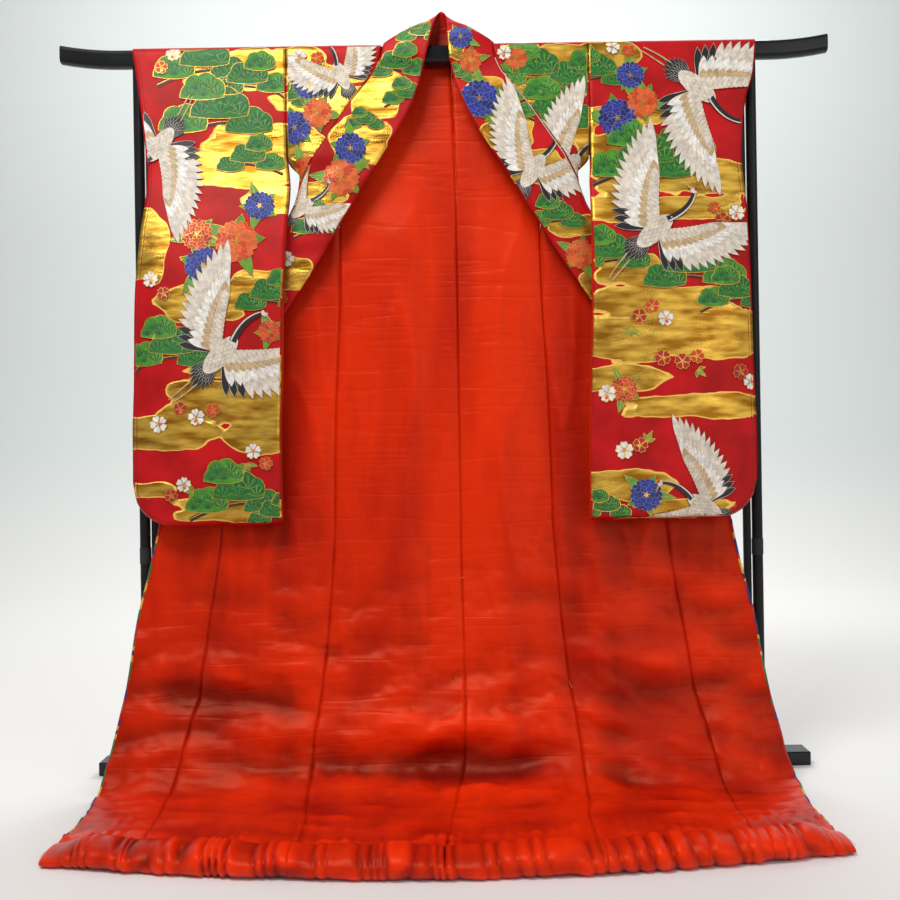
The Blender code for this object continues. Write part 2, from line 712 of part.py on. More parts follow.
def stand(lacquer, satin):
    crossbar(lacquer)
    bar_under = BAR_TOP - BAR_TALL - TOUCH
    beam_half = FOOT_BEAM_DEEP / 2
    beam_y = -0.0065
    for name, sign in (("left", -1), ("right", 1)):
        low_joint = JOINT_HEIGHT - JOINT_TALL / 2
        high_joint = JOINT_HEIGHT + JOINT_TALL / 2
        foot_top = FOOT_TALL + TOUCH
        rod("upright_lower_" + name, sign * POLE_X, foot_top, low_joint - TOUCH, POLE_RADIUS, satin)
        rod("upright_joint_" + name, sign * POLE_X, low_joint, high_joint, JOINT_RADIUS - 0.0015, satin)
        rod("upright_upper_" + name, sign * POLE_X, high_joint + TOUCH, bar_under, POLE_RADIUS, satin)
        rod("slim_pole_" + name, sign * SLIM_POLE_X, foot_top, bar_under, SLIM_POLE_RADIUS, satin, 12)
        inner, outer = sorted((sign * FOOT_BEAM_IN, sign * FOOT_BEAM_OUT))
        box_mesh("foot_" + name, (inner, beam_y - beam_half, 0.0), (outer, beam_y + beam_half, FOOT_TALL),
                 lacquer)
        middle = sign * (POLE_X + SLIM_POLE_X) / 2
        box_mesh("runner_front_" + name, (middle - RUNNER_WIDE / 2, RUNNER_FRONT, 0.0),
                 (middle + RUNNER_WIDE / 2, beam_y - beam_half - TOUCH, FOOT_TALL), lacquer)
        box_mesh("runner_back_" + name, (middle - RUNNER_WIDE / 2, beam_y + beam_half + TOUCH, 0.0),
                 (middle + RUNNER_WIDE / 2, RUNNER_BACK, FOOT_TALL), lacquer)
    box_mesh("floor_rail", (-FOOT_BEAM_IN + TOUCH, beam_y - beam_half, 0.0),
             (FOOT_BEAM_IN - TOUCH, beam_y + beam_half, FOOT_TALL), lacquer)


def centre_on_origin():
    """Moves everything so that the middle of the footprint's box is the origin."""
    bpy.context.view_layer.update()
    graph = bpy.context.evaluated_depsgraph_get()
    lows, highs = [], []
    for item in COLLECTION.objects:
        shown = item.evaluated_get(graph)
        corners = [shown.matrix_world @ v.co for v in shown.data.vertices]
        lows.append([min(c[i] for c in corners) for i in range(3)])
        highs.append([max(c[i] for c in corners) for i in range(3)])
    low = [min(values) for values in zip(*lows)]
    high = [max(values) for values in zip(*highs)]
    shift = Vector((-(low[0] + high[0]) / 2, -(low[1] + high[1]) / 2, -low[2]))
    for item in COLLECTION.objects:
        item.location += shift


def main():
    clear_scene()
    brocade = material("brocade", (0.55, 0.02, 0.03), 0.45)
    silk = material("silk_lining", (0.75, 0.045, 0.01), 0.38)
    lacquer = material("lacquer", (0.01, 0.01, 0.012), 0.15)
    satin = material("satin_black", (0.015, 0.015, 0.017), 0.4)
    for name, sign in (("left", -1), ("right", 1)):
        back, front = body_wall(name, sign, brocade)
        lining_body(name, sign, back, front, silk)
        okumi(name, sign, brocade, silk)
        sleeve("sleeve_" + name, sign, brocade)
    collar(brocade)
    hem_roll(silk)
    stand(lacquer, satin)
    centre_on_origin()


main()
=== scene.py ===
"""Looks of the uchikake: brocade, embroidery, silk lining, wadded hem and lacquer stand."""
import math

import bmesh
import bpy
import numpy as np
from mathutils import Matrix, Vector, noise
from mathutils.bvhtree import BVHTree

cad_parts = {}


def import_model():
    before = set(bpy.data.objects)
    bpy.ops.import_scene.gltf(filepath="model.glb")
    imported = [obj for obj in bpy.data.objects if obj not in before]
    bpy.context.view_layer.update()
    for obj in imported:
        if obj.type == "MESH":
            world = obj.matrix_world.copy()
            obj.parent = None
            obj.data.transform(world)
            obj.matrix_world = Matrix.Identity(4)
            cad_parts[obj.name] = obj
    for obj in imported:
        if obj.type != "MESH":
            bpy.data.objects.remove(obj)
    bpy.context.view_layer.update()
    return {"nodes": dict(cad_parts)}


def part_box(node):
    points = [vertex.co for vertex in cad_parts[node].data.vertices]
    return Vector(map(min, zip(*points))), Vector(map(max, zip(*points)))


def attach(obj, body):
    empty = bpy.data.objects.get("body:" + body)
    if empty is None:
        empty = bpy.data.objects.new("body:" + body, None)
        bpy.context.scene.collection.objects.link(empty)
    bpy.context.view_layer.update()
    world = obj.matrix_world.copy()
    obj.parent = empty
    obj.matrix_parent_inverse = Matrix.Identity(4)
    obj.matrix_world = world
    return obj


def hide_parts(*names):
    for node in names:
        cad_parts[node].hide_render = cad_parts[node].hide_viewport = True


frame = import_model()
BAR_LOW, BAR_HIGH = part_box("crossbar")
SHIFT_Y = (BAR_LOW.y + BAR_HIGH.y) / 2

# Cloth, metres
COLLAR_CLOTH = 0.0026
LINING_GAP = 0.0026
SEAM = 0.00006
TOUCH = 0.0003
CENTRE_X = -0.014
NECK_HALF = 0.1155
CREST_Z = 1.5087
CREST_RADIUS_Y = 0.0225
CREST_RADIUS_Z = 0.0212
UNDERARM = 0.262
UNDERARM_SLIT = 0.005
SLEEVE_BOTTOM = 0.516
SLEEVE_CORNER = 0.08
HEM_DOWN = 1.868
ROLL_DEEP = 0.088
ROLL_TALL = 0.041
HEM_BOW = 0.085

# The hanging line of the back, seen from the side: depth, height
BACK_LINE = [(0.0225, 1.4875), (0.021, 1.40), (0.012, 1.25), (0.0, 1.0), (-0.02, 0.7), (-0.05, 0.45),
             (-0.085, 0.28), (-0.125, 0.14), (-0.168, 0.048), (-0.213, 0.0115), (-0.265, 0.0026),
             (-0.36, 0.0018), (-0.535, 0.0018)]
# Depth of the front cloth that faces outwards: down from the shoulder, depth
FRONT_DEPTH = [(0.0, -0.0225), (0.06, -0.0225), (0.12, -0.030), (0.22, -0.036), (0.30, -0.038),
               (0.40, -0.035), (0.56, -0.028), (0.72, -0.031), (0.90, -0.045), (1.0, -0.055)]
# Half widths of the opened garment from its middle line:
# down, centre seam, side seam, front seam from the side seam, fold, free edge, fold radius, fold turn
BODY = [
    (0.00, 0.030, 0.313, 0.24, 0.313, 0.019, 0.000, 0),
    (0.04, 0.030, 0.313, 0.24, 0.313, 0.024, 0.000, 0),
    (0.08, 0.030, 0.313, 0.24, 0.313, 0.032, 0.000, 0),
    (0.14, 0.032, 0.313, 0.24, 0.313, 0.052, 0.000, 0),
    (0.195, 0.033, 0.313, 0.24, 0.313, 0.081, 0.000, 0),
    (0.255, 0.034, 0.313, 0.24, 0.313, 0.118, 0.000, 0),
    (0.300, 0.035, 0.272, 0.24, 0.290, 0.147, 0.013, 180),
    (0.345, 0.035, 0.236, 0.24, 0.302, 0.174, 0.017, 180),
    (0.395, 0.035, 0.210, 0.24, 0.332, 0.206, 0.018, 180),
    (0.460, 0.035, 0.209, 0.24, 0.395, 0.245, 0.018, 180),
    (0.560, 0.035, 0.211, 0.24, 0.470, 0.312, 0.016, 180),
    (0.710, 0.035, 0.218, 0.24, 0.540, 0.405, 0.013, 180),
    (0.850, 0.035, 0.222, 0.236, 0.574, 0.505, 0.012, 178),
    (0.930, 0.035, 0.223, 0.234, 0.580, 0.554, 0.013, 140),
    (0.970, 0.035, 0.223, 0.233, 0.583, 0.574, 0.014, 100),
    (1.000, 0.035, 0.223, 0.233, 0.586, 0.583, 0.015, 60),
    (1.100, 0.035, 0.228, 0.236, 0.602, 0.600, 0.015, 30),
    (1.200, 0.036, 0.234, 0.244, 0.622, 0.620, 0.012, 20),
    (1.330, 0.037, 0.245, 0.247, 0.636, 0.634, 0.012, 15),
    (1.450, 0.036, 0.260, 0.255, 0.655, 0.653, 0.010, 8),
    (1.560, 0.020, 0.265, 0.265, 0.669, 0.668, 0.010, 3),
    (1.680, 0.008, 0.254, 0.270, 0.661, 0.660, 0.010, 2),
    (1.868, -0.004, 0.248, 0.266, 0.657, 0.656, 0.010, 2),
]
# The seam where the collar joins the front: down, half width
COLLAR_SEAM = [(0.0, 0.1155), (0.035, 0.118), (0.07, 0.130), (0.095, 0.147), (0.14, 0.182),
               (0.215, 0.232), (0.262, 0.262)]
COLLAR_ACROSS = 0.138
COLLAR_END = 0.90
OKUMI_TOP = 0.51
# The collar above the bar and round the neck: free edge x, y, z, lift x, y, z, neck seam x, y, z
NECK = [
    (0.0245, -0.029, 1.474, 0.072, -0.030, 1.484, 0.1180, -0.0225, 1.478),
    (0.0190, -0.028, 1.507, 0.062, -0.020, 1.545, 0.1130, -0.0100, 1.5095),
    (0.0150, -0.016, 1.540, 0.052, 0.000, 1.568, 0.1070, 0.0140, 1.5085),
    (0.0105, 0.004, 1.566, 0.040, 0.022, 1.570, 0.0850, 0.0262, 1.4960),
    (0.0055, 0.018, 1.581, 0.026, 0.033, 1.550, 0.0480, 0.0268, 1.4850),
    (0.0000, 0.023, 1.588, 0.000, 0.036, 1.535, 0.0000, 0.0268, 1.4810),
]
# Sleeve edges, X from the bar's middle: height, left inner, left outer, right inner, right outer
SLEEVE = [
    (1.515, 0.3280, 0.648, 0.3000, 0.648),
    (1.435, 0.3278, 0.636, 0.2998, 0.640),
    (1.374, 0.3276, 0.627, 0.2996, 0.621),
    (1.285, 0.3276, 0.617, 0.2996, 0.611),
    (1.245, 0.3240, 0.614, 0.2990, 0.610),
    (1.203, 0.3200, 0.614, 0.2960, 0.612),
    (1.100, 0.3280, 0.624, 0.2960, 0.614),
    (0.980, 0.3340, 0.634, 0.2950, 0.616),
    (0.807, 0.3380, 0.638, 0.2890, 0.618),
    (0.705, 0.3420, 0.641, 0.2850, 0.620),
    (0.500, 0.3400, 0.640, 0.2810, 0.617),
]
# Depths of the sleeve's two layers and how far the back one is drawn inside the poles:
# height, front depth, back depth, draw
SLEEVE_DEPTH = [
    (1.4875, -0.0225, 0.0225, 0.000),
    (1.440, -0.024, 0.0225, 0.030),
    (1.390, -0.030, 0.0205, 0.046),
    (1.340, -0.033, 0.008, 0.050),
    (1.290, -0.035, -0.008, 0.036),
    (1.240, -0.040, -0.020, 0.010),
    (1.190, -0.050, -0.036, 0.002),
    (1.120, -0.066, -0.050, 0.001),
    (1.000, -0.078, -0.053, 0.001),
    (0.800, -0.083, -0.054, 0.001),
    (0.640, -0.087, -0.063, 0.001),
    (0.480, -0.090, -0.068, 0.001),
]
# Largest soft folds pressed into the sheet: across, down from, down to, half width, height
FOLDS = [
    (0.12, 0.35, 1.35, 0.060, 0.006),
    (-0.10, 0.30, 1.30, 0.065, 0.007),
    (0.02, 0.90, 1.45, 0.070, -0.006),
    (-0.34, 1.00, 1.50, 0.050, 0.008),
    (-0.50, 1.02, 1.48, 0.045, -0.007),
    (0.34, 1.00, 1.50, 0.050, 0.007),
    (0.50, 1.02, 1.48, 0.045, -0.007),
]


def smooth(rows, column, at):
    """A smooth curve through one column of a table, read at a value of its first column."""
    xs = [row[0] for row in rows]
    ys = [row[column] for row in rows]
    if xs[0] > xs[-1]:
        xs, ys = xs[::-1], ys[::-1]
    if at <= xs[0]:
        return ys[0]
    if at >= xs[-1]:
        return ys[-1]
    slopes = [(ys[k + 1] - ys[k]) / (xs[k + 1] - xs[k]) for k in range(len(xs) - 1)]
    k = max(i for i in range(len(xs) - 1) if xs[i] <= at)
    ends = []
    for i in (k, k + 1):
        before = slopes[max(i - 1, 0)]
        after = slopes[min(i, len(slopes) - 1)]
        ends.append(0.0 if before * after <= 0 else 2 * before * after / (before + after))
    width = xs[k + 1] - xs[k]
    t = (at - xs[k]) / width
    return (ys[k] * (1 + 2 * t) * (1 - t) ** 2 + ends[0] * width * t * (1 - t) ** 2
            + ys[k + 1] * t * t * (3 - 2 * t) + ends[1] * width * t * t * (t - 1))


def rise(low, high, at):
    """0 below low, 1 above high, smooth between."""
    t = min(max((at - low) / (high - low), 0.0), 1.0)
    return t * t * (3 - 2 * t)


def bell(x, middle, width):
    """A smooth bump of height 1 at the middle."""
    return math.exp(-((x - middle) / width) ** 2)


def back_track():
    """Points down the back's hanging line and their length down from the shoulder's crest."""
    points = []
    for k in range(9):
        angle = math.pi / 2 * k / 8
        points.append((CREST_RADIUS_Y * math.sin(angle),
                       CREST_Z - CREST_RADIUS_Z * (1 - math.cos(angle))))
    steps = len(BACK_LINE) - 1
    table = [(k, y, z) for k, (y, z) in enumerate(BACK_LINE)]
    for k in range(1, steps * 12 + 1):
        points.append((smooth(table, 1, k / 12), smooth(table, 2, k / 12)))
    track = np.array(points)
    lengths = np.concatenate(([0.0], np.cumsum(np.hypot(*np.diff(track, axis=0).T))))
    return track, lengths


TRACK, TRACK_LENGTH = back_track()


def back_yz(down):
    """Depth and height of the back cloth at a length down from the crest."""
    return (float(np.interp(down, TRACK_LENGTH, TRACK[:, 0])),
            float(np.interp(down, TRACK_LENGTH, TRACK[:, 1])))


def front_yz(down):
    """Depth and height of the cloth that hangs before the bar."""
    y, z = back_yz(down)
    if z > CREST_Z - CREST_RADIUS_Z:
        return -y, z
    return smooth(FRONT_DEPTH, 1, down), z


def hem_shift(across, down):
    """The hem bows back towards its two corners."""
    return HEM_BOW * (across / 0.66) ** 2 * rise(1.45, HEM_DOWN, down)


def fold_height(across, down):
    """Soft folds, raised towards the viewer."""
    total = 0.0
    for middle, start, stop, half, height in FOLDS:
        along = rise(start, start + 0.15, down) * (1 - rise(stop - 0.15, stop, down))
        total += height * bell(across, middle, half) * along
    return total


def side_pull(down):
    """How far the side seam is drawn forward below the arm."""
    return 0.024 * bell(down, UNDERARM, 0.05)


def section(down):
    """The front's path across at one height, from the side seam to the free edge: x, y, z, turn so far."""
    side, _, fold, edge, radius, turn = [smooth(BODY, c, down) for c in (2, 3, 4, 5, 6, 7)]
    y_back, z = back_yz(down)
    y_front = front_yz(down)[0]
    path = []
    if down <= UNDERARM - 0.004:
        tuck = rise(UNDERARM - 0.09, UNDERARM, down)
        for k in range(41):
            x = side + (edge - side) * k / 40
            path.append((x, y_front + 0.014 * tuck * bell(x, side, 0.03), z, 0.0))
        return path
    radius = max(radius, 0.004)
    bend = math.radians(max(turn, 0.5))
    start_y = y_back - side_pull(down)
    arc_x = fold - radius if turn > 90 else fold - radius * math.sin(bend)
    for k in range(21):
        path.append((side + (arc_x - side) * k / 21, start_y, z, 0.0))
    for k in range(25):
        angle = bend * k / 24
        path.append((arc_x + radius * math.sin(angle), start_y - radius * (1 - math.cos(angle)), z, angle))
    last_x, last_y = path[-1][0], path[-1][1]
    if turn > 90 and last_x > edge:
        for k in range(1, 21):
            x = last_x + (edge - last_x) * k / 20
            far = 1 - bell(x, last_x, 0.04)
            y = last_y + (min(y_front, last_y) - last_y) * far if turn > 175 else last_y
            path.append((x, y, z, bend))
    return path


def lengths_of(path):
    points = np.array([p[:2] for p in path])
    return np.concatenate(([0.0], np.cumsum(np.hypot(*np.diff(points, axis=0).T))))


def collar_start(down, lengths):
    """Length across the front at which the collar's seam lies."""
    total = lengths[-1]
    if down < COLLAR_SEAM[-1][0]:
        return smooth(BODY, 2, down) - smooth(COLLAR_SEAM, 1, down)
    width = COLLAR_ACROSS * (1 - rise(0.60, COLLAR_END, down))
    width = min(width, total - 0.03)
    return total - width


def spread(path, lengths, start, stop, cells):
    """Places between two lengths, closer together where the path turns."""
    turns = np.array([p[3] for p in path])
    measure = lengths / 0.09 + turns / math.radians(38)
    low, high = np.interp([start, stop], lengths, measure)
    places = np.interp(np.linspace(low, high, cells + 1), measure, lengths)
    places[0], places[-1] = start, stop
    return places


def front_row(down, part, cells):
    """One row of points across a piece of the front: its body length, its okumi or its collar."""
    path = section(down)
    lengths = lengths_of(path)
    total = lengths[-1]
    collar_at = collar_start(down, lengths)
    okumi_at = min(smooth(BODY, 3, down), collar_at)
    if part == "body":
        open_side = UNDERARM_SLIT * (1 - rise(0.30, 0.42, down)) if down > UNDERARM else 0.0
        start, stop = SEAM + open_side, okumi_at - SEAM
    elif part == "okumi":
        start, stop = okumi_at + SEAM, collar_at - SEAM
        if down > COLLAR_END:
            stop = total
    else:
        start, stop = collar_at + 2 * SEAM, total
    row = []
    for place in spread(path, lengths, start, stop, cells):
        x, y, z = [float(np.interp(place, lengths, [p[i] for p in path])) for i in range(3)]
        flat = rise(0.5, 0.95, down)
        lift = fold_height(-x, down) * flat * rise(0.02, 0.06, total - place)
        row.append((x, y + hem_shift(x, down) - lift, z + lift * rise(1.5, 1.6, down) * 0.4))
    return row


# Fine grid spacing and the thin shells
STEP = 0.0074
SHELL = 0.0008
LINING_FRONT_TOP = 0.33
LINING_OKUMI_TOP = 0.99
SLIT_TOP = 0.255
SLIT_LOW = 0.30


def place(points, sign):
    """Points measured outwards from the garment's middle, put on the left (-1) or right (1)."""
    return [(CENTRE_X + sign * p[0], p[1] + SHIFT_Y, p[2]) for p in points]


def downs_between(start, stop):
    count = max(int(round((stop - start) / STEP)), 2)
    return list(np.linspace(start, stop, count + 1))


def linked(name, data):
    """A new object of this data in the scene."""
    made = bpy.data.objects.new(name, data)
    bpy.context.scene.collection.objects.link(made)
    return made


def uneven(x, z, seed, size):
    """Smooth noise from -1 to 1 over the cloth."""
    return noise.noise(Vector((x / size, z / size, seed * 7.31)))


# Level sags where the lining meets the floor: down, width, height
MIDDLE_SAG = [(1.49, 0.035, -0.020), (1.42, 0.035, 0.013), (1.56, 0.03, 0.008)]
WING_SAG = [(1.36, 0.03, -0.014), (1.29, 0.03, 0.009)]


def crease(x, down, seed):
    """The lining's soft puffs and creases, in metres, raised towards the viewer."""
    low = rise(0.95, 1.35, down)
    long_folds = 0.0035 * uneven(x, down * 0.16, seed, 0.055) * rise(0.1, 0.5, down)
    level = 0.0085 * low * uneven(x * 0.42, down + 0.03 * math.sin(9 * x), seed + 3, 0.042)
    small = 0.0020 * uneven(x * 0.8, down, seed + 5, 0.017) * (0.3 + 0.7 * low)
    sag = sum(height * bell(down, at, width) for at, width, height in MIDDLE_SAG) * bell(x, -0.02, 0.20)
    wings = bell(abs(x), 0.44, 0.13) * (1.0 if x < 0 else 0.7)
    sag += sum(height * bell(down, at, width) for at, width, height in WING_SAG) * wings
    some = rise(0.0, 0.35, uneven(x * 0.5, down * 0.5, seed + 21, 0.11))
    more = rise(-0.05, 0.30, uneven(x * 0.5, down * 0.6, seed + 23, 0.09))
    lines = -0.0044 * some * sharp(x * 0.26, down + 0.02 * math.sin(7 * x), seed + 11, 0.045, 24)
    lines -= 0.0030 * more * sharp(x * 0.20, down * 1.1, seed + 13, 0.026, 18)
    lines *= (0.35 + 0.65 * rise(0.9, 1.3, down)) * rise(0.35, 0.6, down)
    upright = 0.0035 * sharp(x, down * 0.20, seed + 15, 0.075, 10) * rise(0.3, 0.5, down) * (1 - 0.6 * low)
    pucker = rise(1.62, 1.84, down) * 0.0058 * (
        abs(math.sin(math.pi * (x / 0.026 + 1.5 * uneven(x, 0.0, seed + 9, 0.08)))) - 0.5)
    return long_folds + level + small + sag + pucker + lines + upright - seam_dip(x, down)


def seam_dip(x, down):
    """The lining is drawn down along its seams."""
    across = abs(x - CENTRE_X)
    seams = (smooth(BODY, 2, down), smooth(BODY, 2, down) + smooth(BODY, 3, down), smooth(BODY, 1, down))
    near = min(abs(across - at) for at in seams)
    return 0.0013 * bell(near, 0.0, 0.004) * rise(0.3, 0.5, down)


def sheet_crease(x, down, seed):
    """The brocade is stiffer: fewer, longer creases."""
    return (0.0016 * uneven(x, down * 0.25, seed, 0.07) + 0.0007 * uneven(x * 0.7, down, seed + 2, 0.03))


def as_array(rows):
    return np.array(rows, dtype=float)


def normals_of(points):
    along = np.gradient(points, axis=0)
    across = np.gradient(points, axis=1)
    crossed = np.cross(across, along)
    return crossed / np.maximum(np.linalg.norm(crossed, axis=2, keepdims=True), 1e-9)


def raised(points, heights, sign, floor_clear=0.0012):
    """A grid moved along its own directions by one height a point, kept above the floor."""
    moved = points + normals_of(points) * (heights * sign)[:, :, None]
    resting = floor_clear + np.maximum(heights, 0.0) * 0.5
    moved[:, :, 2] = np.maximum(moved[:, :, 2], resting)
    return moved


def sharp(x, down, seed, size, power):
    """Thin crests where smooth noise crosses zero."""
    return (1 - abs(uneven(x, down, seed, size))) ** power


def front_rows(part, cells, start, stop, sign):
    """Fine rows of a front piece; those across the slit lie straight between its two ends."""
    downs = downs_between(start, stop)
    rows = []
    top = place(front_row(SLIT_TOP, part, cells), sign)
    low = place(front_row(SLIT_LOW, part, cells), sign)
    for down in downs:
        if SLIT_TOP < down < SLIT_LOW:
            t = (down - SLIT_TOP) / (SLIT_LOW - SLIT_TOP)
            rows.append([tuple(a + (b - a) * t for a, b in zip(p, q)) for p, q in zip(top, low)])
        else:
            rows.append(place(front_row(down, part, cells), sign))
    return as_array(rows), downs


def add_sheet(name, grids, materials, solid=SHELL, skip=None, values=None, weld=False,
              flip=False):
    """One mesh of several grids, given a small thickness; values are per-point attributes."""
    work = bmesh.new()
    layers = {}
    for key in (values or [{}])[0]:
        layers[key] = work.verts.layers.float.new(key)
    for g, points in enumerate(grids):
        verts = []
        for r in range(points.shape[0]):
            row = []
            for c in range(points.shape[1]):
                vert = work.verts.new(points[r, c])
                for key, layer in layers.items():
                    vert[layer] = float(values[g][key][r, c])
                row.append(vert)
            verts.append(row)
        for r in range(len(verts) - 1):
            for c in range(len(verts[r]) - 1):
                if skip and skip(g, r, c):
                    continue
                corners = [verts[r][c], verts[r][c + 1], verts[r + 1][c + 1], verts[r + 1][c]]
                face = work.faces.new(corners[::-1] if flip else corners)
                face.smooth = True
    if weld:
        bmesh.ops.remove_doubles(work, verts=work.verts, dist=0.00002)
    loose = [v for v in work.verts if not v.link_faces]
    bmesh.ops.delete(work, geom=loose, context="VERTS")
    mesh = bpy.data.meshes.new(name)
    work.to_mesh(mesh)
    work.free()
    made = linked("sewn_" + name, mesh)
    for look in materials:
        mesh.materials.append(look)
    if solid:
        wall = made.modifiers.new("Wall", "SOLIDIFY")
        wall.thickness = solid
        wall.offset = 0.0
        if len(materials) > 1:
            wall.material_offset = 1
            wall.material_offset_rim = 0
    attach(made, "root")
    return made


class Graph:
    """Short helpers for one material's nodes."""

    def __init__(self, name):
        self.material = bpy.data.materials.new(name)
        self.material.use_nodes = True
        self.tree = self.material.node_tree
        self.shader = self.tree.nodes["Principled BSDF"]

    def node(self, kind, **values):
        made = self.tree.nodes.new(kind)
        for key, value in values.items():
            setattr(made, key, value)
        return made

    def put(self, source, target):
        self.tree.links.new(source, target)

    def place(self):
        return self.node("ShaderNodeTexCoord").outputs["Object"]

    def scaled(self, source, scale):
        mapping = self.node("ShaderNodeMapping")
        mapping.inputs["Scale"].default_value = scale
        self.put(source, mapping.inputs["Vector"])
        return mapping.outputs["Vector"]

    def cloud(self, source, scale, detail=3.0, roughness=0.5):
        made = self.node("ShaderNodeTexNoise")
        made.inputs["Scale"].default_value = scale
        made.inputs["Detail"].default_value = detail
        made.inputs["Roughness"].default_value = roughness
        self.put(source, made.inputs["Vector"])
        return made.outputs["Fac"]

    def math(self, operation, a, b=0.0, clamp=False):
        made = self.node("ShaderNodeMath", operation=operation, use_clamp=clamp)
        for value, socket in ((a, made.inputs[0]), (b, made.inputs[1])):
            if isinstance(value, (int, float)):
                socket.default_value = value
            else:
                self.put(value, socket)
        return made.outputs[0]

    def spread(self, source, low, high, to_low=0.0, to_high=1.0):
        made = self.node("ShaderNodeMapRange")
        for key, value in zip(("From Min", "From Max", "To Min", "To Max"), (low, high, to_low, to_high)):
            made.inputs[key].default_value = value
        self.put(source, made.inputs["Value"])
        return made.outputs["Result"]

    def mix(self, factor, a, b):
        made = self.node("ShaderNodeMix", data_type="RGBA")
        for value, socket in ((factor, made.inputs[0]), (a, made.inputs[6]), (b, made.inputs[7])):
            if isinstance(value, tuple):
                socket.default_value = (*value, 1.0)
            elif isinstance(value, (int, float)):
                socket.default_value = value
            else:
                self.put(value, socket)
        return made.outputs[2]

    def threads(self, source, scale, direction="X", distortion=0.0):
        made = self.node("ShaderNodeTexWave", bands_direction=direction)
        made.inputs["Scale"].default_value = scale
        made.inputs["Distortion"].default_value = distortion
        made.inputs["Detail"].default_value = 1.0
        self.put(source, made.inputs["Vector"])
        return made.outputs["Fac"]

    def bump(self, height, strength, distance):
        made = self.node("ShaderNodeBump")
        made.inputs["Strength"].default_value = strength
        made.inputs["Distance"].default_value = distance
        self.put(height, made.inputs["Height"])
        self.put(made.outputs["Normal"], self.shader.inputs["Normal"])

    def set(self, **values):
        for key, value in values.items():
            socket = self.shader.inputs[key.replace("_", " ")]
            if isinstance(value, tuple):
                socket.default_value = (*value, 1.0) if len(value) == 3 else value
            elif isinstance(value, (int, float)):
                socket.default_value = value
            else:
                self.put(value, socket)


def silk(name, lit, deep, roughness=0.33):
    """Plain satin silk with a fine weave and soft uneven dye; from the fold attribute it takes painted shade
    in its hollows and painted highlight on its crests.
    """
    g = Graph(name)
    at = g.place()
    patches = g.cloud(g.scaled(at, (1.0, 1.0, 0.25)), 6.0)
    slubs = g.cloud(g.scaled(at, (240.0, 240.0, 5.0)), 1.0, 2.0)
    level = g.math("ADD", g.math("MULTIPLY", patches, 0.92), g.math("MULTIPLY", slubs, 0.08))
    fold = g.node("ShaderNodeAttribute", attribute_name="fold").outputs["Fac"]
    colour = g.mix(g.spread(level, 0.36, 0.62), deep, lit)
    # Painted highlight: where the fold attribute is high the colour is lightened
    colour = g.mix(g.spread(fold, 0.0015, 0.010), colour, tuple(min(c * 1.22, 0.9) for c in lit))
    # Painted shade: where the fold attribute is low the colour is darkened to a deep red
    colour = g.mix(g.math("MULTIPLY", g.spread(fold, -0.0010, -0.0120), 0.78), colour, (0.13, 0.0015, 0.0007))
    g.set(Base_Color=colour)
    weave = g.math("ADD", g.threads(at, 420.0, "X"), g.threads(at, 420.0, "Z"))
    wrinkle = g.cloud(g.scaled(at, (1.6, 1.6, 17.0)), 1.3, 2.0)
    wrinkle = g.spread(g.math("ABSOLUTE", g.math("SUBTRACT", wrinkle, 0.5)), 0.0, 0.045)
    relief = g.math("ADD", g.math("MULTIPLY", weave, 0.35), slubs)
    g.bump(g.math("ADD", relief, g.math("MULTIPLY", wrinkle, 4.2)), 0.30, 0.0004)
    g.set(Roughness=roughness, Specular_IOR_Level=0.40, Specular_Tint=(1.0, 0.40, 0.22))
    return g.material


def brocade():
    """Crimson satin with woven gold cloud bands; the gold attribute says where."""
    g = Graph("Brocade")
    at = g.place()
    inside = g.node("ShaderNodeAttribute", attribute_name="gold").outputs["Fac"]
    ragged = g.math("MULTIPLY", g.math("SUBTRACT", g.cloud(at, 26.0, 1.0), 0.5), 0.012)
    depth = g.math("ADD", inside, ragged)
    gold = g.spread(depth, -0.0003, 0.0003)
    rim = g.math("MULTIPLY", g.spread(depth, -0.0016, -0.0010), g.spread(depth, 0.0014, 0.0008))
    patches = g.cloud(at, 14.0)
    satin = g.mix(g.spread(patches, 0.35, 0.65), (0.36, 0.0015, 0.004), (0.56, 0.004, 0.009))
    crinkle = g.cloud(g.scaled(at, (9.0, 9.0, 34.0)), 1.6, 2.0, 0.5)
    # Gold foil runs from dark to bright gold with the crinkle noise: partly the foil's own uneven tone,
    # partly painted highlight on its crinkles
    foil_tone_and_glint = g.mix(g.spread(crinkle, 0.36, 0.66), (0.38, 0.155, 0.012), (0.92, 0.56, 0.085))
    colour = g.mix(gold, satin, foil_tone_and_glint)
    colour = g.mix(rim, colour, (0.95, 0.60, 0.12))
    ribs = g.threads(at, 330.0, "Z")
    twill = g.threads(g.scaled(at, (1.0, 1.0, 0.6)), 260.0, "DIAGONAL")
    g.set(Base_Color=colour, Metallic=g.math("MULTIPLY", gold, 0.88))
    g.set(Roughness=g.mix(gold, (0.46, 0.46, 0.46), g.mix(g.spread(patches, 0.4, 0.6), (0.24, 0.24, 0.24),
                                                         (0.38, 0.38, 0.38))))
    relief = g.math("ADD", g.math("MULTIPLY", ribs, 0.25), g.math("MULTIPLY", twill, 0.25))
    relief = g.math("ADD", relief, g.math("MULTIPLY", g.math("MULTIPLY", crinkle, gold), 9.0))
    g.bump(g.math("ADD", relief, g.math("MULTIPLY", gold, 0.6)), 0.45, 0.0006)
    g.set(Specular_IOR_Level=0.35, Specular_Tint=(1.0, 0.55, 0.45))
    return g.material


